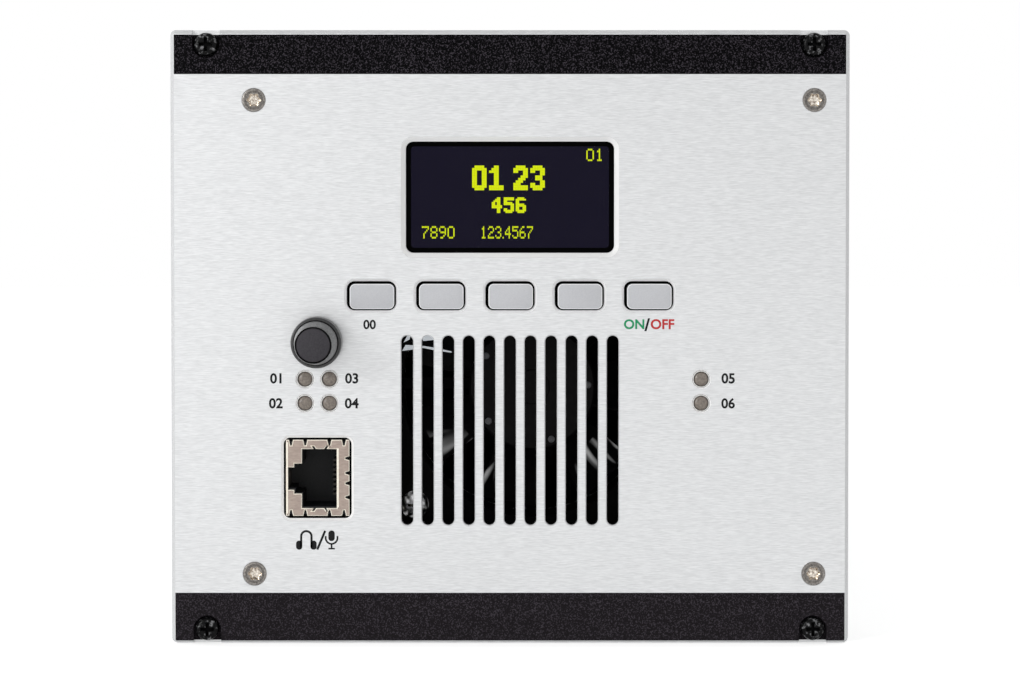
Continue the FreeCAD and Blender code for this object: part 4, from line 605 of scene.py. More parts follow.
def flat_face(bm, y, *loops, finish=0):
    """Faces at level y inside the first (x, z) outline and outside the others."""
    edges = []
    for loop in loops:
        edges += loop_edges(bm, [(x, y, z) for x, z in loop])
    filled = bmesh.ops.triangle_fill(bm, use_beauty=True, use_dissolve=False, edges=edges)
    faces = [part for part in filled["geom"] if isinstance(part, bmesh.types.BMFace)]
    for face in faces:
        face.material_index = finish
    return faces


def thicken(bm, faces, depth):
    """Extrude flat faces along Y into a solid."""
    grown = bmesh.ops.extrude_face_region(bm, geom=faces)
    moved = [part for part in grown["geom"] if isinstance(part, bmesh.types.BMVert)]
    bmesh.ops.translate(bm, vec=(0, depth, 0), verts=moved)


def bevel_rim(bm, edges, width, segments=1):
    """Break sharp edges with a bevel that wears the second finish."""
    bmesh.ops.bevel(bm, geom=edges, offset=width, offset_type="OFFSET", segments=segments, profile=0.5,
                    affect="EDGES", material=1)


def from_level(level, *points):
    """Profile points that are given from a level along Y."""
    return [(level + depth, radius) for depth, radius in points]


def circle_outline(x, z, radius, count=48):
    """A circle of points."""
    turns = [2 * math.pi * i / count for i in range(count)]
    return [(x + radius * math.cos(turn), z + radius * math.sin(turn)) for turn in turns]


def round_outline(x, z, width, height, radius, count=6):
    """A rectangle with round corners."""
    points = []
    for quarter, (side, level) in enumerate(((1, 1), (-1, 1), (-1, -1), (1, -1))):
        cx, cz = x + side * (width / 2 - radius), z + level * (height / 2 - radius)
        for i in range(count + 1):
            turn = math.pi / 2 * (quarter + i / count)
            points.append((cx + radius * math.cos(turn), cz + radius * math.sin(turn)))
    return points


print("helpers ready")

# %% [markdown]
# ## Screws
#
# All the module's screws are a turned head on a plain shank with a driver's recess in its face. The recess
# could be cut with a boolean, but the head's face is easier to fill round the recess's outline, and then the
# outline's edges are pushed in and closed by a floor. The black rack screws have a cross and painted glints
# in their black. The panel's own screws have a star with six lobes and a thin ring of painted shade round the
# head. The recesses wear painted shade, except in the panel's screws, whose drive has painted glints.

# %% A screw
RECESS_TAPER = 0.72


def cross_outline(arm, half):
    """An upright cross, as a driver leaves it."""
    points = []
    for u, v in ((1, 0), (0, 1), (-1, 0), (0, -1)):
        for along, beside in ((half, half), (arm, half), (arm, -half)):
            points.append((along * u + beside * v, along * v - beside * u))
    return points


def lobe_outline(radius, swell, count=48, lobes=6):
    """A star of round lobes."""
    points = []
    for i in range(count):
        turn = 2 * math.pi * i / count
        reach = radius + swell * math.cos(lobes * turn)
        points.append((reach * math.cos(turn), reach * math.sin(turn)))
    return points


def screw(bm, profile, recess, depth, place):
    """A screw that looks along -Y, put in place by a matrix. The profile runs from face to tip."""
    before = set(bm.verts)
    rings = [
        loop_edges(bm, [(x, y, z) for x, z in circle_outline(0, 0, radius)]) for y, radius in profile
    ]
    for front, rear in zip(rings, rings[1:]):
        bmesh.ops.bridge_loops(bm, edges=front + rear)
    bmesh.ops.edgeloop_fill(bm, edges=rings[-1])
    face_level = profile[0][0]
    rim = loop_edges(bm, [(x, face_level, z) for x, z in recess])
    bmesh.ops.triangle_fill(bm, use_beauty=True, use_dissolve=False, edges=rings[0] + rim)
    walls = bmesh.ops.extrude_edge_only(bm, edges=rim)["geom"]
    deep = [part for part in walls if isinstance(part, bmesh.types.BMVert)]
    bmesh.ops.scale(bm, vec=(RECESS_TAPER, 1, RECESS_TAPER), verts=deep)
    bmesh.ops.translate(bm, vec=(0, depth, 0), verts=deep)
    floor_edges = [
        part for part in walls
        if isinstance(part, bmesh.types.BMEdge) and part.verts[0] in deep and part.verts[1] in deep
    ]
    floor_faces = bmesh.ops.edgeloop_fill(bm, edges=floor_edges)["faces"]
    wall_faces = [part for part in walls if isinstance(part, bmesh.types.BMFace)]
    for face in wall_faces + floor_faces:
        face.material_index = 1
    bmesh.ops.transform(bm, matrix=place, verts=[v for v in bm.verts if v not in before])


def spots_of(node_name, radius):
    """The four corner spots (x, z) of a node that holds four round pieces of one radius."""
    low, high = (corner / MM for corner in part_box(node_name))
    return [(x, z) for x in (low.x + radius, high.x - radius) for z in (low.z + radius, high.z - radius)]


def four_screws(bm, node_name, head, *shape):
    """A node's four screws, all of one shape, in the corners of its box."""
    spots = spots_of(node_name, head)
    for x, z in spots:
        screw(bm, *shape, Matrix.Translation((x, 0, z)))
    return spots


shadow_black = grained("recess_shadow", (5, 5, 6), (10, 10, 11), 0.6, specular=0.05)
print("screw helper ready")

# %% The rack screws
RACK_HEAD = 2.4
RACK_CROSS, RACK_CROSS_DEPTH = cross_outline(1.46, 0.36), 1.1

screws = bmesh.new()
rack_low, rack_high = (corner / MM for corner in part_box("rack_screws"))
rack_profile = [
    *from_level(rack_low.y, (0, 1.62), (0.10, 2.0), (0.32, 2.27), (0.62, 2.38), (0.85, RACK_HEAD)),
    *from_level(RECESS_FLOOR, (0, RACK_HEAD), (0, 1.05)),
    (0.2, 1.05), (0.2, 1.25),
    *from_level(rack_high.y, (-0.3, 1.25), (0, 0.95)),
]
rack_spots = four_screws(screws, "rack_screws", RACK_HEAD, rack_profile, RACK_CROSS, RACK_CROSS_DEPTH)
finish_piece("rack_screws_fine", screws, "module", "black_steel", black_with_painted_glints, shadow_black,
             replaced=("rack_screws",))
print("rack screws:", len(rack_spots))

# %% The panel screws
PANEL_HEAD = 2.45
PANEL_LOBES, PANEL_LOBES_DEPTH = lobe_outline(1.32, 0.17), 1.0
# A thin ring of painted shade round each head stands for the dark edge of its countersink.
SHADE_RING_STEPS = ((0.03, 2.41), (0.03, 2.5), (0.25, 2.5))

# Painted shade: a darker nickel for screw recesses and for the ring round the panel screws.
shaded_nickel = grained("nickel_in_painted_shade", (70, 66, 62), (96, 92, 86), 0.35, metallic=1.0)
# The head's ring is nickel in painted shade, and its drive nickel with painted glints.
shaded_screw_ring = grained("screw_ring_painted_shade", (100, 96, 93), (152, 148, 143), 0.3, 0.4, metallic=1.0, relief=0.01)
glinting_screw_drive = grained("screw_drive_painted_glints", (120, 104, 90), (255, 248, 236), 0.25, 0.45, metallic=1.0,
                       relief=0.05)
fixings = bmesh.new()
fix_low, fix_high = (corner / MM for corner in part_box("panel_screws"))
fix_profile = [
    *from_level(fix_low.y, (0.02, 1.62), (0.14, 1.72), (0.14, 1.84), (0.02, 1.95), (0, 2.2), (0.06, 2.40),
                (0.2, 2.36), (1.2, 1.27), (1.2, 1.25)),
    *from_level(fix_high.y, (-0.3, 1.25), (0, 0.9)),
]
fix_spots = spots_of("panel_screws", PANEL_HEAD)
for x, z in fix_spots:
    screw(fixings, fix_profile, PANEL_LOBES, PANEL_LOBES_DEPTH, Matrix.Translation((x, 0, z)))
    turn(fixings, from_level(fix_low.y, *SHADE_RING_STEPS), x, z, finish=2)
finish_piece("panel_screws_fine", fixings, "module", "nickel_steel", shaded_screw_ring, glinting_screw_drive, shaded_nickel,
             replaced=("panel_screws",))
print("panel screws:", len(fix_spots))

# %% [markdown]
# ## The buttons
#
# Five moulded caps, flat in front with a small round edge that shows as a thin bright line. Each is an
# extruded rounded rectangle whose front edge gets a bevel in a paler finish, a painted highlight for that
# line. Loose caps sag a little in their openings, so the gap is wider above and on the left. Behind the panel
# the cap keeps its skirt and its stem, because the switch is pushed by it. Both wear painted shade.

# %% The buttons
CAP_WIDTH, CAP_HEIGHT, CAP_CORNER = 9.28, 5.24, 1.1
CAP_EDGE = 0.16
CAP_SAG = 0.14
CAP_BACK = 0.25
SKIRT_SIZE, SKIRT_BACK = (11.4, 7.2), 1.45
STEM_SIZE = (7.0, 4.6)
HIDDEN_CORNER = 0.4

for number in range(1, 6):
    node_name = f"button_cap_{number}"
    low, high = (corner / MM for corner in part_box(node_name))
    x, z = centre_of(low, high)
    cap = bmesh.new()
    outline = round_outline(x + CAP_SAG, z - CAP_SAG, CAP_WIDTH, CAP_HEIGHT, CAP_CORNER)
    front = bmesh.ops.dissolve_faces(cap, faces=flat_face(cap, low.y, outline), use_verts=False)["region"]
    rim = list(front[0].edges)
    thicken(cap, front, CAP_BACK - low.y)
    bevel_rim(cap, rim, CAP_EDGE, segments=2)
    # The skirt and the stem wear painted shade, black as the gap round the cap looks.
    for size, start, end in ((SKIRT_SIZE, CAP_BACK, SKIRT_BACK), (STEM_SIZE, SKIRT_BACK, high.y)):
        thicken(cap, flat_face(cap, start, round_outline(x, z, *size, HIDDEN_CORNER), finish=2), end - start)
    finish_piece(f"button_{number}_cap", cap, f"button_{number}", "button_grey", button_grey, button_highlight_rim,
                 shadow_black, replaced=(node_name,))
print("five caps, front at y", round(low.y, 2))

# %% [markdown]
# ## The knob
#
# A turned-looking moulding: a short wide skirt, a groove, a slightly tapered body, and a flat disc set into
# its end. The groove, the seam round the disc and the bore wear painted shade. One profile runs round all of
# it, with small steps where the moulding has round edges, and is turned in parts, so that each can have its
# finish. The disc is a piece of its own, as on the real one.

# %% The knob's finishes
knob_satin = grained("knob_satin", (14, 14, 15), (46, 46, 47), 0.34, (0.5, 1.6, 0.5), specular=0.6)
knob_ribbed = grained("knob_ribbed", (52, 52, 53), (128, 128, 129), 0.42, (0.3, 1.2, 0.3),
                      specular=0.6, relief=0.03)
knob_disc = grained("knob_disc", (52, 50, 54), (62, 60, 64), 0.6, 0.25, specular=0.2, relief=0.006)
# Painted shade for the knob's groove, the seam round its disc and its bore.
knob_painted_shade = grained("knob_shaded_groove", (8, 8, 9), (14, 14, 15), 0.6, specular=0.1)
print("knob finishes ready")

# %% The knob
knob_low, knob_high = (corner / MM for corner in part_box("knob_body"))
KNOB_X, KNOB_Z = centre_of(knob_low, knob_high)
back, nose = knob_high.y, knob_low.y
knob = bmesh.new()


def turn_knob(bm, finish, *profile):
    """Turn a part of the knob about its axis."""
    turn(bm, profile, KNOB_X, KNOB_Z, finish=finish)


turn_knob(knob, 0, *from_level(back, (0, 3.42), (0, 5.2), (-0.1, 5.3), (-3.9, 5.3), (-4.3, 5.22),
                               (-4.55, 5.02), (-4.6, 4.74)))
turn_knob(knob, 1, *from_level(back, (-4.6, 4.74), (-4.1, 4.7), (-4.1, 4.46), (-4.6, 4.46)))
turn_knob(knob, 2, *from_level(back, (-4.6, 4.46), (-5.25, 4.54), (-5.5, 4.5)),
          *from_level(nose, (0.5, 3.95), (0.15, 3.84), (0, 3.78)))
turn_knob(knob, 1, *from_level(nose, (0, 3.78), (0, 3.66)))
turn_knob(knob, 1, *from_level(nose, (0, 3.66), (1.2, 3.66), (1.2, 2.8)),
          *from_level(back, (-9.0, 2.8), (-9.0, 3.42), (0, 3.42)))
finish_piece("knob_shell", knob, "knob", "knob_black", knob_satin, knob_painted_shade, knob_ribbed,
             replaced=("knob_body",))

disc = bmesh.new()
turn_knob(disc, 0, *from_level(nose, (0.12, 0.0), (0.12, 3.3), (0.17, 3.42), (0.3, 3.5), (1.2, 3.5),
                               (1.2, 0.0)))
finish_piece("knob_disc", disc, "knob", "knob_cap_grey", knob_disc, replaced=("knob_cap",))
print("knob at", round(KNOB_X, 2), round(KNOB_Z, 2), "from y", round(back, 2), "to", round(nose, 2))

# %% [markdown]
# ## The lamps
#
# Unlit lamps with a cloudy brown-grey lens in a thin bright ring. Lens and ring are turned, the lens
# as a low dome.
# It could be real clear resin, but an unlit diffused lamp lets almost nothing through, so a soft
# opaque shine is closer and renders cleanly.

# %% The lamps
lens_resin = grained("lamp_resin", (108, 100, 93), (142, 133, 124), 0.3, 0.4, specular=0.35, relief=0.004)
ring_metal = grained("lamp_ring", (204, 203, 201), (242, 241, 239), 0.34, 0.4, metallic=0.5, relief=0.02)
dome = [*from_level(FACE, (0.06, 0.0), (0.09, 0.7), (0.2, 1.15), (0.42, 1.42)),
        (1.2, 1.42), (1.2, 1.75), (2.0, 1.75), (2.0, 0.0)]
hoop = [*from_level(FACE, (0.16, 1.56), (0.05, 1.62), (0.05, 1.74), (0.25, 1.82)),
        (-0.4, 1.82), (-0.4, 1.56), *from_level(FACE, (0.16, 1.56))]
for number in range(1, 7):
    node_name = f"indicator_lamp_{number}"
    low, high = (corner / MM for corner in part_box(node_name))
    lamp, ring = bmesh.new(), bmesh.new()
    turn(lamp, dome, *centre_of(low, high))
    finish_piece(f"lamp_{number}_lens", lamp, "module", "lamp_lens", lens_resin, replaced=(node_name,))
    turn(ring, hoop, *centre_of(low, high))
    finish_piece(f"lamp_{number}_ring", ring, "module", "nickel_steel", ring_metal)
print("six lamps")

# %% [markdown]
# ## The headset socket
#
# A folded sheet shield round a black housing. Its face is stamped: an opening in the plug's shape with two
# steps for the latch, and tapered slits along the edges where the sheet was folded. The face is filled
# between its two outlines and extruded by the sheet's thickness. Its front edges get a bevel in an almost
# white finish as a painted highlight, and so do two thin strips on the face. A black sheet behind the face is
# painted shade behind the slits, and a black ring in the gap to the panel is painted shade too.

# %% The socket's outlines
shield_low, shield_high = (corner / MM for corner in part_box("headset_shield"))
SOCKET_X, SOCKET_Z = centre_of(shield_low, shield_high)
half_wide, half_tall = (shield_high.x - shield_low.x) / 2, (shield_high.z - shield_low.z) / 2
SLIT_MOUTH, SLIT_TIP = 0.42, 0.17
EDGE_SLITS = (-5.6, -2.6, 2.45, 5.5)
EDGE_SLIT_DEPTH = 1.2
SIDE_SLITS = (-4.1, -1.15, 1.0, 4.1)
SIDE_SLIT_DEPTH = 0.85


def slitted_side(start, end, spots=(), depth=0):
    """Points from start towards end, with a tapered slit to the left of the way at each spot."""
    way = (end - start).normalized()
    inward = Vector((-way.y, way.x))
    middle = (start + end) / 2
    points = [start]
    for centre in sorted((middle + Vector((abs(way.x), abs(way.y))) * spot for spot in spots),
                         key=lambda centre: way.dot(centre)):
        for across, deep in ((-SLIT_MOUTH, 0), (-SLIT_TIP, depth), (SLIT_TIP, depth), (SLIT_MOUTH, 0)):
            points.append(centre + way * across + inward * deep)
    return points


corners = [Vector((side * half_wide, level * half_tall))
           for side, level in ((1, -1), (1, 1), (-1, 1), (-1, -1))]
face_outline = (
    slitted_side(corners[0], corners[1], SIDE_SLITS, SIDE_SLIT_DEPTH)
    + slitted_side(corners[1], corners[2], EDGE_SLITS, EDGE_SLIT_DEPTH)
    + slitted_side(corners[2], corners[3])
    + slitted_side(corners[3], corners[0], EDGE_SLITS, EDGE_SLIT_DEPTH)
)
face_outline = [(SOCKET_X + p.x, SOCKET_Z + p.y) for p in face_outline]

PLUG_HALF = 6.2
PLUG_DROP = 0.16
PLUG_LEFT, PLUG_RIGHT = -3.3, 4.0
TAB_MIDDLE, TAB_HALF, CUT_HEIGHT, CUT_LEAN, CUT_WIDTH = 0.5, 1.35, 0.6, 0.4, 0.5
LATCH_REACH, LATCH_HALF = (1.62, 3.2), (3.15, 2.35)

plug_left, plug_right = SOCKET_X + PLUG_LEFT, SOCKET_X + PLUG_RIGHT
upper_half = [(plug_right, PLUG_HALF)]
for side in (1, -1):
    foot, cut_top = SOCKET_X + TAB_MIDDLE + side * TAB_HALF, PLUG_HALF + CUT_HEIGHT
    cut = [(foot, PLUG_HALF), (foot + side * CUT_LEAN, cut_top),
           (foot + side * (CUT_LEAN - CUT_WIDTH), cut_top), (foot - side * CUT_WIDTH, PLUG_HALF)]
    upper_half += cut[::side]
upper_half += [
    (plug_left, PLUG_HALF), (plug_left, LATCH_HALF[0]), (plug_left - LATCH_REACH[0], LATCH_HALF[0]),
    (plug_left - LATCH_REACH[0], LATCH_HALF[1]), (plug_left - LATCH_REACH[1], LATCH_HALF[1]),
]
PLUG_Z = SOCKET_Z - PLUG_DROP
opening = [(x, PLUG_Z + z) for x, z in upper_half] + [(x, PLUG_Z - z) for x, z in reversed(upper_half)]
print("shield face:", len(face_outline), "points round a", len(opening), "point opening")

# %% The shield
FACE_SHEET = 0.4
CUT_RIM = 0.18
HIGHLIGHT_STRIP_WIDTH, HIGHLIGHT_STRIP_RISE, HIGHLIGHT_STRIP_DEPTH = 0.42, 0.03, 0.1
SHADE_DEPTH = 0.8
SHADE_EDGE, SHADE_RIGHT, SHADE_LEFT = 1.35, 1.3, 0.3


def shield_outline(grow, radius):
    """A rounded outline of the shield, wider and taller by an amount."""
    return round_outline(SOCKET_X, SOCKET_Z, 2 * half_wide + grow, 2 * half_tall + grow, radius)


def square_outline(left, right, reach):
    """A rectangle that reaches as far up as down from the socket's middle."""
    corners = ((left, -reach), (right, -reach), (right, reach), (left, reach))
    return [(SOCKET_X + x, SOCKET_Z + z) for x, z in corners]


shield = bmesh.new()
front_level = shield_low.y
face = flat_face(shield, front_level, face_outline, opening)
rims = [edge for edge in shield.edges if len(edge.link_faces) == 1]
thicken(shield, face, FACE_SHEET)
bevel_rim(shield, rims, CUT_RIM)
tube_front = front_level + FACE_SHEET + SHADE_DEPTH
tube = flat_face(shield, tube_front, shield_outline(-0.02, 0.45), shield_outline(-0.78, 0.15))
thicken(shield, tube, shield_high.y - tube_front)
# Painted highlights: two thin pale strips, along the left edge and along the opening's right side.
for left, right, reach in ((0.04 - half_wide, HIGHLIGHT_STRIP_WIDTH - half_wide, half_tall - 0.5),
                           (PLUG_RIGHT, PLUG_RIGHT + HIGHLIGHT_STRIP_WIDTH, PLUG_HALF)):
    highlight_strip = flat_face(shield, front_level - HIGHLIGHT_STRIP_RISE, square_outline(left, right, reach), finish=1)
    thicken(shield, highlight_strip, HIGHLIGHT_STRIP_DEPTH)
# Painted shade: a black sheet behind the face, seen through the slits.
shade_hole = square_outline(SHADE_LEFT - half_wide, half_wide - SHADE_RIGHT, half_tall - SHADE_EDGE)
shade_sheet = flat_face(shield, front_level + FACE_SHEET + 0.02, shield_outline(-0.1, 0.45), shade_hole, finish=2)
thicken(shield, shade_sheet, SHADE_DEPTH - 0.04)
finish_piece("socket_shield", shield, "module", "nickel_shield", warm_nickel, highlight_on_rims, shadow_black,
             replaced=("headset_shield",))
print("shield front at y", round(front_level, 2))

# %% The ring of shade in the gap
GAP = 0.45
GAP_SHADE_SINK, GAP_SHADE_DEPTH = 0.25, 1.2

gap = bmesh.new()
# Painted shade: a black ring fills the gap round the shield.
ring = flat_face(gap, front_level + GAP_SHADE_SINK, shield_outline(2 * GAP - 0.02, 1.38),
                 shield_outline(0.04, 0.3))
thicken(gap, ring, GAP_SHADE_DEPTH)
finish_piece("socket_gap_shade", gap, "module", "black_rubber", rubber)
print("seal round the shield,", GAP, "mm wide")

# %% [markdown]
# ## The display
#
# A dark glass behind a black gasket, with yellow-green dots. The dots are small squares that give
# their own light. Small figures are drawn on a grid of five by seven dots and large ones on six by
# ten, as such displays do it, and only plain figures are shown. The clear cover in front has almost
# no reflection of its own, or it would grey the dark glass.

# %% The display's glass
screen_glass = grained("screen_glass", (24, 21, 33), (33, 29, 43), 0.25, 6.0, specular=0.05, relief=0.001)
glow(screen_glass, 0.9, paint(28, 26, 40))
wear("display_panel", screen_glass)

clear_cover = grained("clear_cover", (250, 250, 252), (255, 255, 255), 0.06, 8.0, relief=0.0004, uneven=0.02)
cover_inputs = clear_cover.node_tree.nodes["Principled BSDF"].inputs
cover_inputs["Transmission Weight"].default_value = 1.0
cover_inputs["IOR"].default_value = 1.06
wear("display_window", clear_cover)
print("glass ready")

# %% The figures
THIN_FIGURES = {
    "0": "01110 10001 10001 10001 10001 10001 01110",
    "1": "00100 01100 00100 00100 00100 00100 01110",
    "2": "01110 10001 00001 00110 01000 10000 11111",
    "3": "01110 10001 00001 00110 00001 10001 01110",
    "4": "00010 00110 01010 10010 11111 00010 00010",
    "5": "11111 10000 11110 00001 00001 10001 01110",
    "6": "00110 01000 10000 11110 10001 10001 01110",
    "7": "11111 00001 00010 00100 01000 01000 01000",
    "8": "01110 10001 10001 01110 10001 10001 01110",
    "9": "01110 10001 10001 01111 00001 00010 01100",
    ".": "0 0 0 0 0 0 1",
}
BOLD_FIGURES = {
    "0": "011110 111111 110011 110011 110011 110011 110011 110011 111111 011110",
    "1": "001100 011100 111100 001100 001100 001100 001100 001100 111111 111111",
    "2": "011110 111111 110011 000011 000111 001110 011100 111000 111111 111111",
    "3": "011110 111111 110011 000011 001110 001110 000011 110011 111111 011110",
    "4": "000110 001110 011110 110110 110110 111111 111111 000110 000110 000110",
    "5": "111111 111111 110000 111110 111111 000011 000011 110011 111111 011110",
    "6": "011110 111111 110000 110000 111110 111111 110011 110011 111111 011110",
    " ": "00 " * 10,
}
BOLD_FILL, THIN_FILL = 0.98, 0.82
DOT_HEIGHT = 0.98
FACE_FRONT = Matrix.Rotation(math.pi / 2, 4, "X")


def lit_line(bm, figures, fill, text, x, z, width, height, y):
    """A line of figures of a given width and height, centred on (x, z)."""
    grids = [figures[letter].split() for letter in text]
    step = width / (sum(len(grid[0]) + 1 for grid in grids) - 1)
    rise = height / len(grids[0])
    size = Matrix.Diagonal((step * fill, rise * DOT_HEIGHT, 1, 1))
    left, top = x - width / 2, z + height / 2
    for grid in grids:
        for row, bits in enumerate(grid):
            for column, bit in enumerate(bits):
                if bit == "1":
                    spot = Matrix.Translation((left + (column + 0.5) * step, y, top - (row + 0.5) * rise))
                    bmesh.ops.create_grid(bm, x_segments=1, y_segments=1, size=0.5,
                                          matrix=spot @ FACE_FRONT @ size)
        left += (len(grid[0]) + 1) * step


PICTURE_MIDDLE_X, PICTURE_MIDDLE_Y = 510.55, 336.9


def at(pixel_x, pixel_y):
    """The place on the panel's plane, in millimetres, of a pixel of the 1020 x 675 render."""
    return (pixel_x - PICTURE_MIDDLE_X) / PIXELS_PER_MM, (PICTURE_MIDDLE_Y - pixel_y) / PIXELS_PER_MM


GLASS_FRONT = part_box("display_panel")[0].y / MM - 0.03
LINES = [
    (BOLD_FIGURES, BOLD_FILL, "01 23", (509.0, 177.3), 15.3, 5.2),
    (BOLD_FIGURES, BOLD_FILL, "456", (509.4, 204.7), 7.2, 3.3),
    (THIN_FIGURES, THIN_FILL, "7890", (438.3, 232.1), 6.9, 2.6),
    (THIN_FIGURES, THIN_FILL, "123.4567", (507.3, 232.1), 11.0, 2.6),
    (THIN_FIGURES, THIN_FILL, "01", (595.8, 154.2), 3.6, 2.6),
]
dots = bmesh.new()
for figure_set, fill, text, spot, width, height in LINES:
    lit_line(dots, figure_set, fill, text, *at(*spot), width, height, GLASS_FRONT)

lit = grained("lit_dots", (30, 33, 6), (44, 48, 10), 0.5, 1.0, specular=0.0)
glow(lit, 1.0, paint(214, 228, 20))
figures = finish_piece("display_figures", dots, "module", "screen", lit, smooth=False)
print("lit dots:", len(figures.data.polygons))

# %% [markdown]
# ## Signs on the panel
#
# Small printed numbers beside the lamps, ON and OFF under the last button, and two drawn signs
# under the socket. Printed ink has no thickness that can be seen, so each sign is a flat mesh a
# hair in front of the metal. Numbers come from a text object that is made a mesh first.

# %% Printed numbers
INK_LEVEL = FACE - 0.015
INK_SWELL = 0.028
ink_black = grained("sign_ink", (6, 6, 8), (14, 14, 16), 0.5, 0.4, specular=0.2)
ink_green = grained("green_ink", (26, 136, 88), (38, 150, 102), 0.5, 0.4, specular=0.2)
ink_red = grained("red_ink", (178, 46, 48), (194, 60, 60), 0.5, 0.4, specular=0.2)


def printed(name, text, x, z, height, ink):
    """A word or number of a given height, centred on (x, z) on the panel's face."""
    words = bpy.data.curves.new(name, "FONT")
    words.body = text
    words.resolution_u = 4
    words.offset = INK_SWELL
    holder = add_object(name + "_words", words)
    flat = bpy.data.meshes.new_from_object(holder.evaluated_get(bpy.context.evaluated_depsgraph_get()))
    bpy.data.objects.remove(holder)
    bm = bmesh.new()
    bm.from_mesh(flat)
    bpy.data.meshes.remove(flat)
    xs, ys = [v.co.x for v in bm.verts], [v.co.y for v in bm.verts]
    size = height / (max(ys) - min(ys))
    bmesh.ops.translate(bm, vec=(-(max(xs) + min(xs)) / 2, -(max(ys) + min(ys)) / 2, 0), verts=bm.verts)
    place = Matrix.Translation((x, INK_LEVEL, z)) @ FACE_FRONT
    bmesh.ops.transform(bm, matrix=place @ Matrix.Scale(size, 4), verts=bm.verts)
    finish_flat(name, bm, ink)


def finish_flat(name, bm, ink):
    """Set flat ink that faces forwards on the module."""
    piece = add_object(name, close_mesh(name, bm, [ink], forwards=True))
    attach(piece, "module")


LAMP_SIGNS = [("01", (276, 378)), ("02", (276, 403)), ("03", (352, 378)), ("04", (352, 403)),
              ("05", (729, 378)), ("06", (729, 403))]
LAMP_SIGN_HEIGHT = 2.2
SIGNS = [(text, text, spot, LAMP_SIGN_HEIGHT, ink_black) for text, spot in LAMP_SIGNS] + [
    ("00", "00", (370, 324), 2.0, ink_black),
    ("on", "ON", (634.8, 323.7), 2.1, ink_green),
    ("slash", "/", (647.9, 324.2), 2.7, ink_black),
    ("off", "OFF", (663.2, 323.7), 2.15, ink_red),
]
for name, text, spot, height, ink in SIGNS:
    printed(f"sign_{name}", text, *at(*spot), height, ink)
print("signs:", len(SIGNS))

# %% The headset signs
EARS_SPOT, DIVIDER_SPOT, MOUTH_SPOT = (306.3, 540.3), (321.2, 540.5), (331.6, 540.3)


def arc_band(bm, x, z, inner, outer, start, end, steps=24):
    """A flat arc between two radii and two angles in degrees, from the right, anticlockwise."""
    across, up = math.cos(math.radians(start)), math.sin(math.radians(start))
    ends = [bm.verts.new((x + r * across, INK_LEVEL, z + r * up)) for r in (inner, outer)]
    bmesh.ops.spin(bm, geom=[*ends, bm.edges.new(ends)], cent=(x, 0, z), axis=(0, -1, 0),
                   angle=math.radians(end - start), steps=steps)


def pad(bm, x, z, width, height, radius, tilt=0.0):
    """A flat rounded pad, tilted by degrees."""
    before = set(bm.verts)
    flat_face(bm, INK_LEVEL, round_outline(0, 0, width, height, radius))
    place = Matrix.Translation((x, 0, z)) @ Matrix.Rotation(math.radians(tilt), 4, "Y")
    bmesh.ops.transform(bm, matrix=place, verts=[v for v in bm.verts if v not in before])


ear_x, ear_z = at(*EARS_SPOT)
ears = bmesh.new()
arc_band(ears, ear_x, ear_z + 0.77, 0.86, 1.31, 0, 180)
for side in (-1, 1):
    pad(ears, ear_x + side * 1.51, ear_z - 1.09, 1.3, 1.9, 0.62)
    pad(ears, ear_x + side * 1.085, ear_z - 0.4, 0.45, 2.36, 0.02)
finish_flat("sign_headphones", ears, ink_black)

divider = bmesh.new()
pad(divider, *at(*DIVIDER_SPOT), 0.48, 4.3, 0.1, tilt=22.8)
finish_flat("sign_divider", divider, ink_black)

mouth_x, mouth_z = at(*MOUTH_SPOT)
mouth = bmesh.new()
pad(mouth, mouth_x, mouth_z + 0.88, 1.34, 2.24, 0.66)
arc_band(mouth, mouth_x, mouth_z + 0.42, 1.05, 1.42, 180, 360)
for side in (-1, 1):
    pad(mouth, mouth_x + side * 1.235, mouth_z + 0.62, 0.37, 0.42, 0.02)
pad(mouth, mouth_x, mouth_z - 1.38, 0.36, 0.9, 0.05)
pad(mouth, mouth_x, mouth_z - 1.83, 1.36, 0.32, 0.08)
finish_flat("sign_microphone", mouth, ink_black)
print("headset signs at", round(ear_x, 1), round(mouth_x, 1))

# %% [markdown]
# ## The fan's small parts
#
# Behind the grille show the fan's corner screws, which glint now and then, the pegs that balance its hub, and
# its white lead. The screws' glints and the lead's brightness are painted light, a weak glow, as on the
# blades, because hardly any lamp light gets through the slots. Only the bits of the lead that show between
# them are made.

# %% The fan's screws
FAN_HEAD = 2.7
FAN_CROSS, FAN_CROSS_DEPTH = cross_outline(1.5, 0.32), 1.1
GLINT, GLINT_STOPS = 0.34, (0.54, 0.74)

screw_glint_steel = grained("fan_screw_painted_glints", (150, 150, 152), (214, 214, 216), 0.3, 1.2, metallic=1.0)
tree = screw_glint_steel.node_tree
# Painted glints: the screws glow in the noise's brightest spots.
glow(screw_glint_steel, map_range(tree, tree.nodes["noise"].outputs[0], *GLINT_STOPS, 0.0, GLINT))

fan_screws = bmesh.new()
fan_low, fan_high = (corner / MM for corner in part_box("fan_screws"))
fan_profile = [
    *from_level(fan_low.y, (0, 2.0), (0.14, 2.5), (0.55, 2.88), (1.0, 3.0), (1.6, 3.0), (1.6, 1.9)),
    *from_level(fan_high.y, (-0.3, 1.9), (0, 1.5)),
]
fan_spots = four_screws(fan_screws, "fan_screws", FAN_HEAD, fan_profile, FAN_CROSS, FAN_CROSS_DEPTH)
finish_piece("fan_screws_fine", fan_screws, "module", "nickel_steel", screw_glint_steel, shaded_nickel,
             replaced=("fan_screws",))
print("fan screws:", len(fan_spots))

# %% The hub's pegs
PEG_RADIUS, PEG_COUNT, PEG_START = 12.0, 5, 2

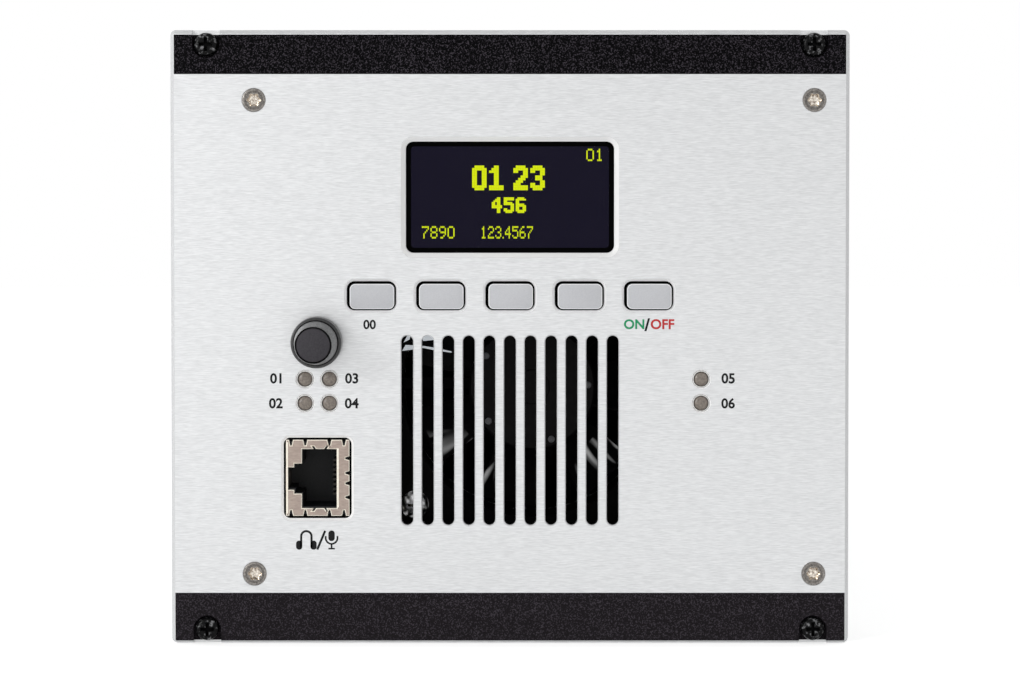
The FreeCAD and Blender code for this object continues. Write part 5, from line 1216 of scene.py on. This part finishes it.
hub_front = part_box("fan_rotor")[0].y / MM
peg_grey = grained("balance_peg", (140, 140, 144), (172, 172, 176), 0.5, 0.3, specular=0.3)
peg_profile = from_level(hub_front, (-0.12, 0.0), (-0.12, 0.62), (0, 0.76), (0.3, 0.76))
pegs = bmesh.new()
for step in range(PEG_COUNT):
    turned = math.radians(PEG_START + 360 / PEG_COUNT * step)
    x, z = FAN_X + PEG_RADIUS * math.cos(turned), FAN_Z + PEG_RADIUS * math.sin(turned)
    turn(pegs, peg_profile, x, z, steps=16)
turn(pegs, from_level(hub_front, (0, 3.55), (-0.06, 3.6), (-0.06, 3.75), (0, 3.8)), FAN_X, FAN_Z, finish=1)
finish_piece("fan_balance_pegs", pegs, "fan", "fan_black", peg_grey, fan_black)
print("pegs:", PEG_COUNT)

# %% The fan's lead
LEAD_LEVEL, LEAD_DEPTH = 12.9, 0.25
LEAD_PATCHES = (
    [(402.5, 350.5), (406.0, 344.5), (424.0, 345.5), (436.0, 347.5), (452.0, 351.0), (452.0, 352.2),
     (436.0, 350.0), (424.0, 347.5)],
    [(404.0, 342.0), (408.5, 334.0), (411.0, 334.0), (410.0, 339.0)],
    [(419.0, 334.0), (421.0, 332.0), (435.0, 332.0), (437.0, 334.0), (434.0, 339.5), (424.0, 340.5)],
)


def behind(pixel_x, pixel_y, level):
    """The place at a depth behind the panel that shows at a pixel of the render."""
    x, z = at(pixel_x, pixel_y)
    share = (level - FACE) / CAMERA_DISTANCE
    return x * (1 + share), z + (z - CAMERA_RISE) * share


lead_painted_light = grained("pale_lead_painted_glow", (214, 218, 222), (236, 240, 244), 0.4, 0.4, specular=0.3)
# Painted light: the lead glows.
glow(lead_painted_light, 0.5, paint(230, 236, 242))
lead = bmesh.new()
for patch in LEAD_PATCHES:
    thicken(lead, flat_face(lead, LEAD_LEVEL, [behind(*spot, LEAD_LEVEL) for spot in patch]), LEAD_DEPTH)
finish_piece("fan_lead", lead, "module", "white_insulator", lead_painted_light)
print("bits of lead:", len(LEAD_PATCHES))

# %% [markdown]
# ## Screws on the chassis
#
# The cover and the rear panel are held by small cross-recess screws. They use the same helper,
# turned to the side that they look at.

# %% The chassis screws
tray_low, tray_high = (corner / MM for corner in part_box("chassis_tray"))
rear_low, rear_high = (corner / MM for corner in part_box("rear_panel"))
cover_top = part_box("top_cover")[1].z / MM
SCREW_INSET = 4.5
COVER_ROWS = (30.0, 140.0, 250.0)
REAR_ROWS = (tray_low.z + SCREW_INSET, 0.0, cover_top - SCREW_INSET)
CHASSIS_CROSS, CHASSIS_CROSS_DEPTH = cross_outline(1.4, 0.3), 1.0
FACE_REAR = Matrix.Rotation(math.pi, 4, "Z")
FACE_UP = Matrix.Rotation(-math.pi / 2, 4, "X")

shank = [(4.7, 1.4), (5.0, 1.1)]
domed_profile = [(-1.5, 1.6), (-1.38, 2.1), (-1.0, 2.48), (-0.6, 2.6), (0, 2.6), (0, 1.4), *shank]
flush_profile = [(0, 2.3), (0.08, 2.44), (1.1, 1.42), (1.1, 1.4), *shank]
columns = (tray_low.x + SCREW_INSET, tray_high.x - SCREW_INSET)
rear_spots = [Matrix.Translation((x, rear_high.y, z)) @ FACE_REAR for x in columns for z in REAR_ROWS]
cover_spots = [Matrix.Translation((x, y, cover_top)) @ FACE_UP for x in columns for y in COVER_ROWS]
chassis_screws = bmesh.new()
for profile, spots in ((domed_profile, rear_spots), (flush_profile, cover_spots)):
    for place in spots:
        screw(chassis_screws, profile, CHASSIS_CROSS, CHASSIS_CROSS_DEPTH, place)
finish_piece("chassis_screws_fine", chassis_screws, "module", "nickel_steel", nickel, shaded_nickel,
             replaced=("chassis_screws",))
print("chassis screws:", len(rear_spots) + len(cover_spots))

# %% [markdown]
# ## A dark pad behind the exhaust
#
# A thin pad of black foam lies behind the exhaust slots, a dark sheet put there for shade: without it the
# bright background would show through the whole module, from the exhaust to the grille.

# %% A foam pad for shade
EXHAUST_X, EXHAUST_Z, PAD_WIDTH, PAD_HEIGHT, PAD_DEPTH, PAD_CORNER = 43.0, -22.0, 36.0, 46.0, 2.6, 2.0

foam_black = grained("foam_black", (8, 8, 8), (26, 26, 27), 0.9, 0.7, specular=0.02, relief=0.25)
foam = bmesh.new()
pad_front = rear_low.y - PAD_DEPTH - 0.2
pad_outline = round_outline(EXHAUST_X, EXHAUST_Z, PAD_WIDTH, PAD_HEIGHT, PAD_CORNER)
# Painted shade: the pad keeps the inside of the module dark.
thicken(foam, flat_face(foam, pad_front, pad_outline), PAD_DEPTH)
finish_piece("exhaust_shade_pad", foam, "module", "black_rubber", foam_black)
print("filter behind y", round(rear_low.y, 1))

# %% [markdown]
# ## The connectors at the rear
#
# The antenna socket has a deep thread round its barrel and the earth stud a shallow one. A thread is
# a small ridge that is spun with a step along the axis, so that each turn lands one pitch further
# on. The socket is turned anew, with a drilled flange and four bolts. The stud's solid stays, and
# the ridge lies on it.

# %% A helper for threads
RIDGE_SINK = 0.03


def thread(bm, x, z, radius, start, end, pitch, rise, steps=40):
    """A helical ridge on a rod along Y."""
    turns = (end - start - pitch) / pitch
    foot = radius - RIDGE_SINK
    ridge = from_level(start, (0, foot), (pitch * 0.5, radius + rise), (pitch * 0.98, foot))
    verts = [bm.verts.new((x + reach, y, z)) for y, reach in ridge]
    edges = [bm.edges.new(pair) for pair in zip(verts, verts[1:])]
    count = int(steps * turns)
    bmesh.ops.spin(bm, geom=verts + edges, cent=(x, 0, z), axis=(0, 1, 0), angle=2 * math.pi * turns,
                   dvec=(0, pitch * turns / count, 0), steps=count)


print("thread helper ready")

# %% The antenna socket
FLANGE_SIDE, FLANGE_CORNER, FLANGE_DEPTH = 25.4, 1.2, 1.8
FLANGE_REACH, FLANGE_HOLE = 9.1, 1.6
ANTENNA_CROSS, ANTENNA_CROSS_DEPTH = cross_outline(1.1, 0.25), 0.8

antenna_low, antenna_high = (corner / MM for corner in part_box("antenna_socket"))
ANTENNA_X, ANTENNA_Z = centre_of(antenna_low, antenna_high)
flange_back, tip = rear_high.y + FLANGE_DEPTH, antenna_high.y
holes = [(ANTENNA_X + u * FLANGE_REACH, ANTENNA_Z + v * FLANGE_REACH) for u in (-1, 1) for v in (-1, 1)]
antenna = bmesh.new()
plate_edge = round_outline(ANTENNA_X, ANTENNA_Z, FLANGE_SIDE, FLANGE_SIDE, FLANGE_CORNER)
hole_edges = [circle_outline(x, z, FLANGE_HOLE, 24) for x, z in holes]
thicken(antenna, flat_face(antenna, rear_high.y, plate_edge, *hole_edges), FLANGE_DEPTH)
barrel = [
    *from_level(flange_back, (0, 4.3), (0, 7.94), (0.8, 7.94), (1.0, 7.45)),
    *from_level(tip, (-0.9, 7.45), (-0.5, 7.1), (-0.05, 6.6), (0, 6.5), (0, 4.5), (-0.2, 4.3)),
    (antenna_low.y, 4.3), (antenna_low.y, 6.0), (rear_high.y, 6.0),
]
turn(antenna, barrel, ANTENNA_X, ANTENNA_Z)
thread(antenna, ANTENNA_X, ANTENNA_Z, radius=7.45, start=flange_back + 1.2, end=tip - 0.6,
       pitch=1.06, rise=0.47)
finish_piece("antenna_socket_fine", antenna, "module", "nickel_shield", nickel, replaced=("antenna_socket",))

bolt_profile = [(-1.2, 1.2), (-1.0, 1.9), (-0.6, 2.3), (0, 2.35), (0, 1.3), (4.0, 1.3), (4.2, 1.1)]
for x, z in holes:
    bolt = bmesh.new()
    screw(bolt, bolt_profile, ANTENNA_CROSS, ANTENNA_CROSS_DEPTH,
          Matrix.Translation((x, flange_back, z)) @ FACE_REAR)
    corner_name = ("l" if x < ANTENNA_X else "r") + ("u" if z > ANTENNA_Z else "d")
    finish_piece(f"antenna_screw_{corner_name}", bolt, "module", "nickel_steel", nickel, shaded_nickel)
print("antenna socket at", round(ANTENNA_X, 1), round(ANTENNA_Z, 1))

# %% The earth stud
stud_low, stud_high = (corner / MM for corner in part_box("earth_stud"))
wear("earth_stud", brass)
stud = bmesh.new()
thread(stud, *centre_of(stud_low, stud_high), radius=2.42, start=rear_high.y + 3.2,
       end=stud_high.y - 0.6, pitch=0.8, rise=0.07)
finish_piece("earth_stud_thread", stud, "module", "brass", brass)
print("earth stud up to y", round(stud_high.y, 1))

# %% [markdown]
# ## The remote socket's two materials
#
# The solid is one block: a metal shell and flange, with a black insert inside the shell. The insert
# is told apart by a mask on the shell's face.

# %% The remote socket
INSERT_SIDE, INSERT_RISE, INSERT_DEPTH = 10.9, 3.6, 5.1

remote_low, remote_high = (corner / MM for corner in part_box("remote_socket"))
REMOTE_X, REMOTE_Z = centre_of(remote_low, remote_high)
remote_finish = grained("remote_shell", (176, 172, 166), (204, 200, 194), 0.3, 0.6, metallic=1.0)
tree = remote_finish.node_tree
across, depth_axis, upright = object_axes(tree)
insert = times(tree, within(tree, across, upright, (REMOTE_X - INSERT_SIDE, REMOTE_X + INSERT_SIDE),
                            (REMOTE_Z - INSERT_RISE, REMOTE_Z + INSERT_RISE)),
               math_node(tree, "GREATER_THAN", depth_axis, (remote_high.y - INSERT_DEPTH) * MM))
shell_colour = tree.nodes["colours"].outputs[0]
shader = tree.nodes["Principled BSDF"]
join(tree, blend_colour(tree, insert, shell_colour, paint(20, 20, 22)), shader.inputs["Base Color"])
join(tree, remains(tree, insert), shader.inputs["Metallic"])
wear("remote_socket", remote_finish)
print("remote socket at", round(REMOTE_X, 1), round(REMOTE_Z, 1))
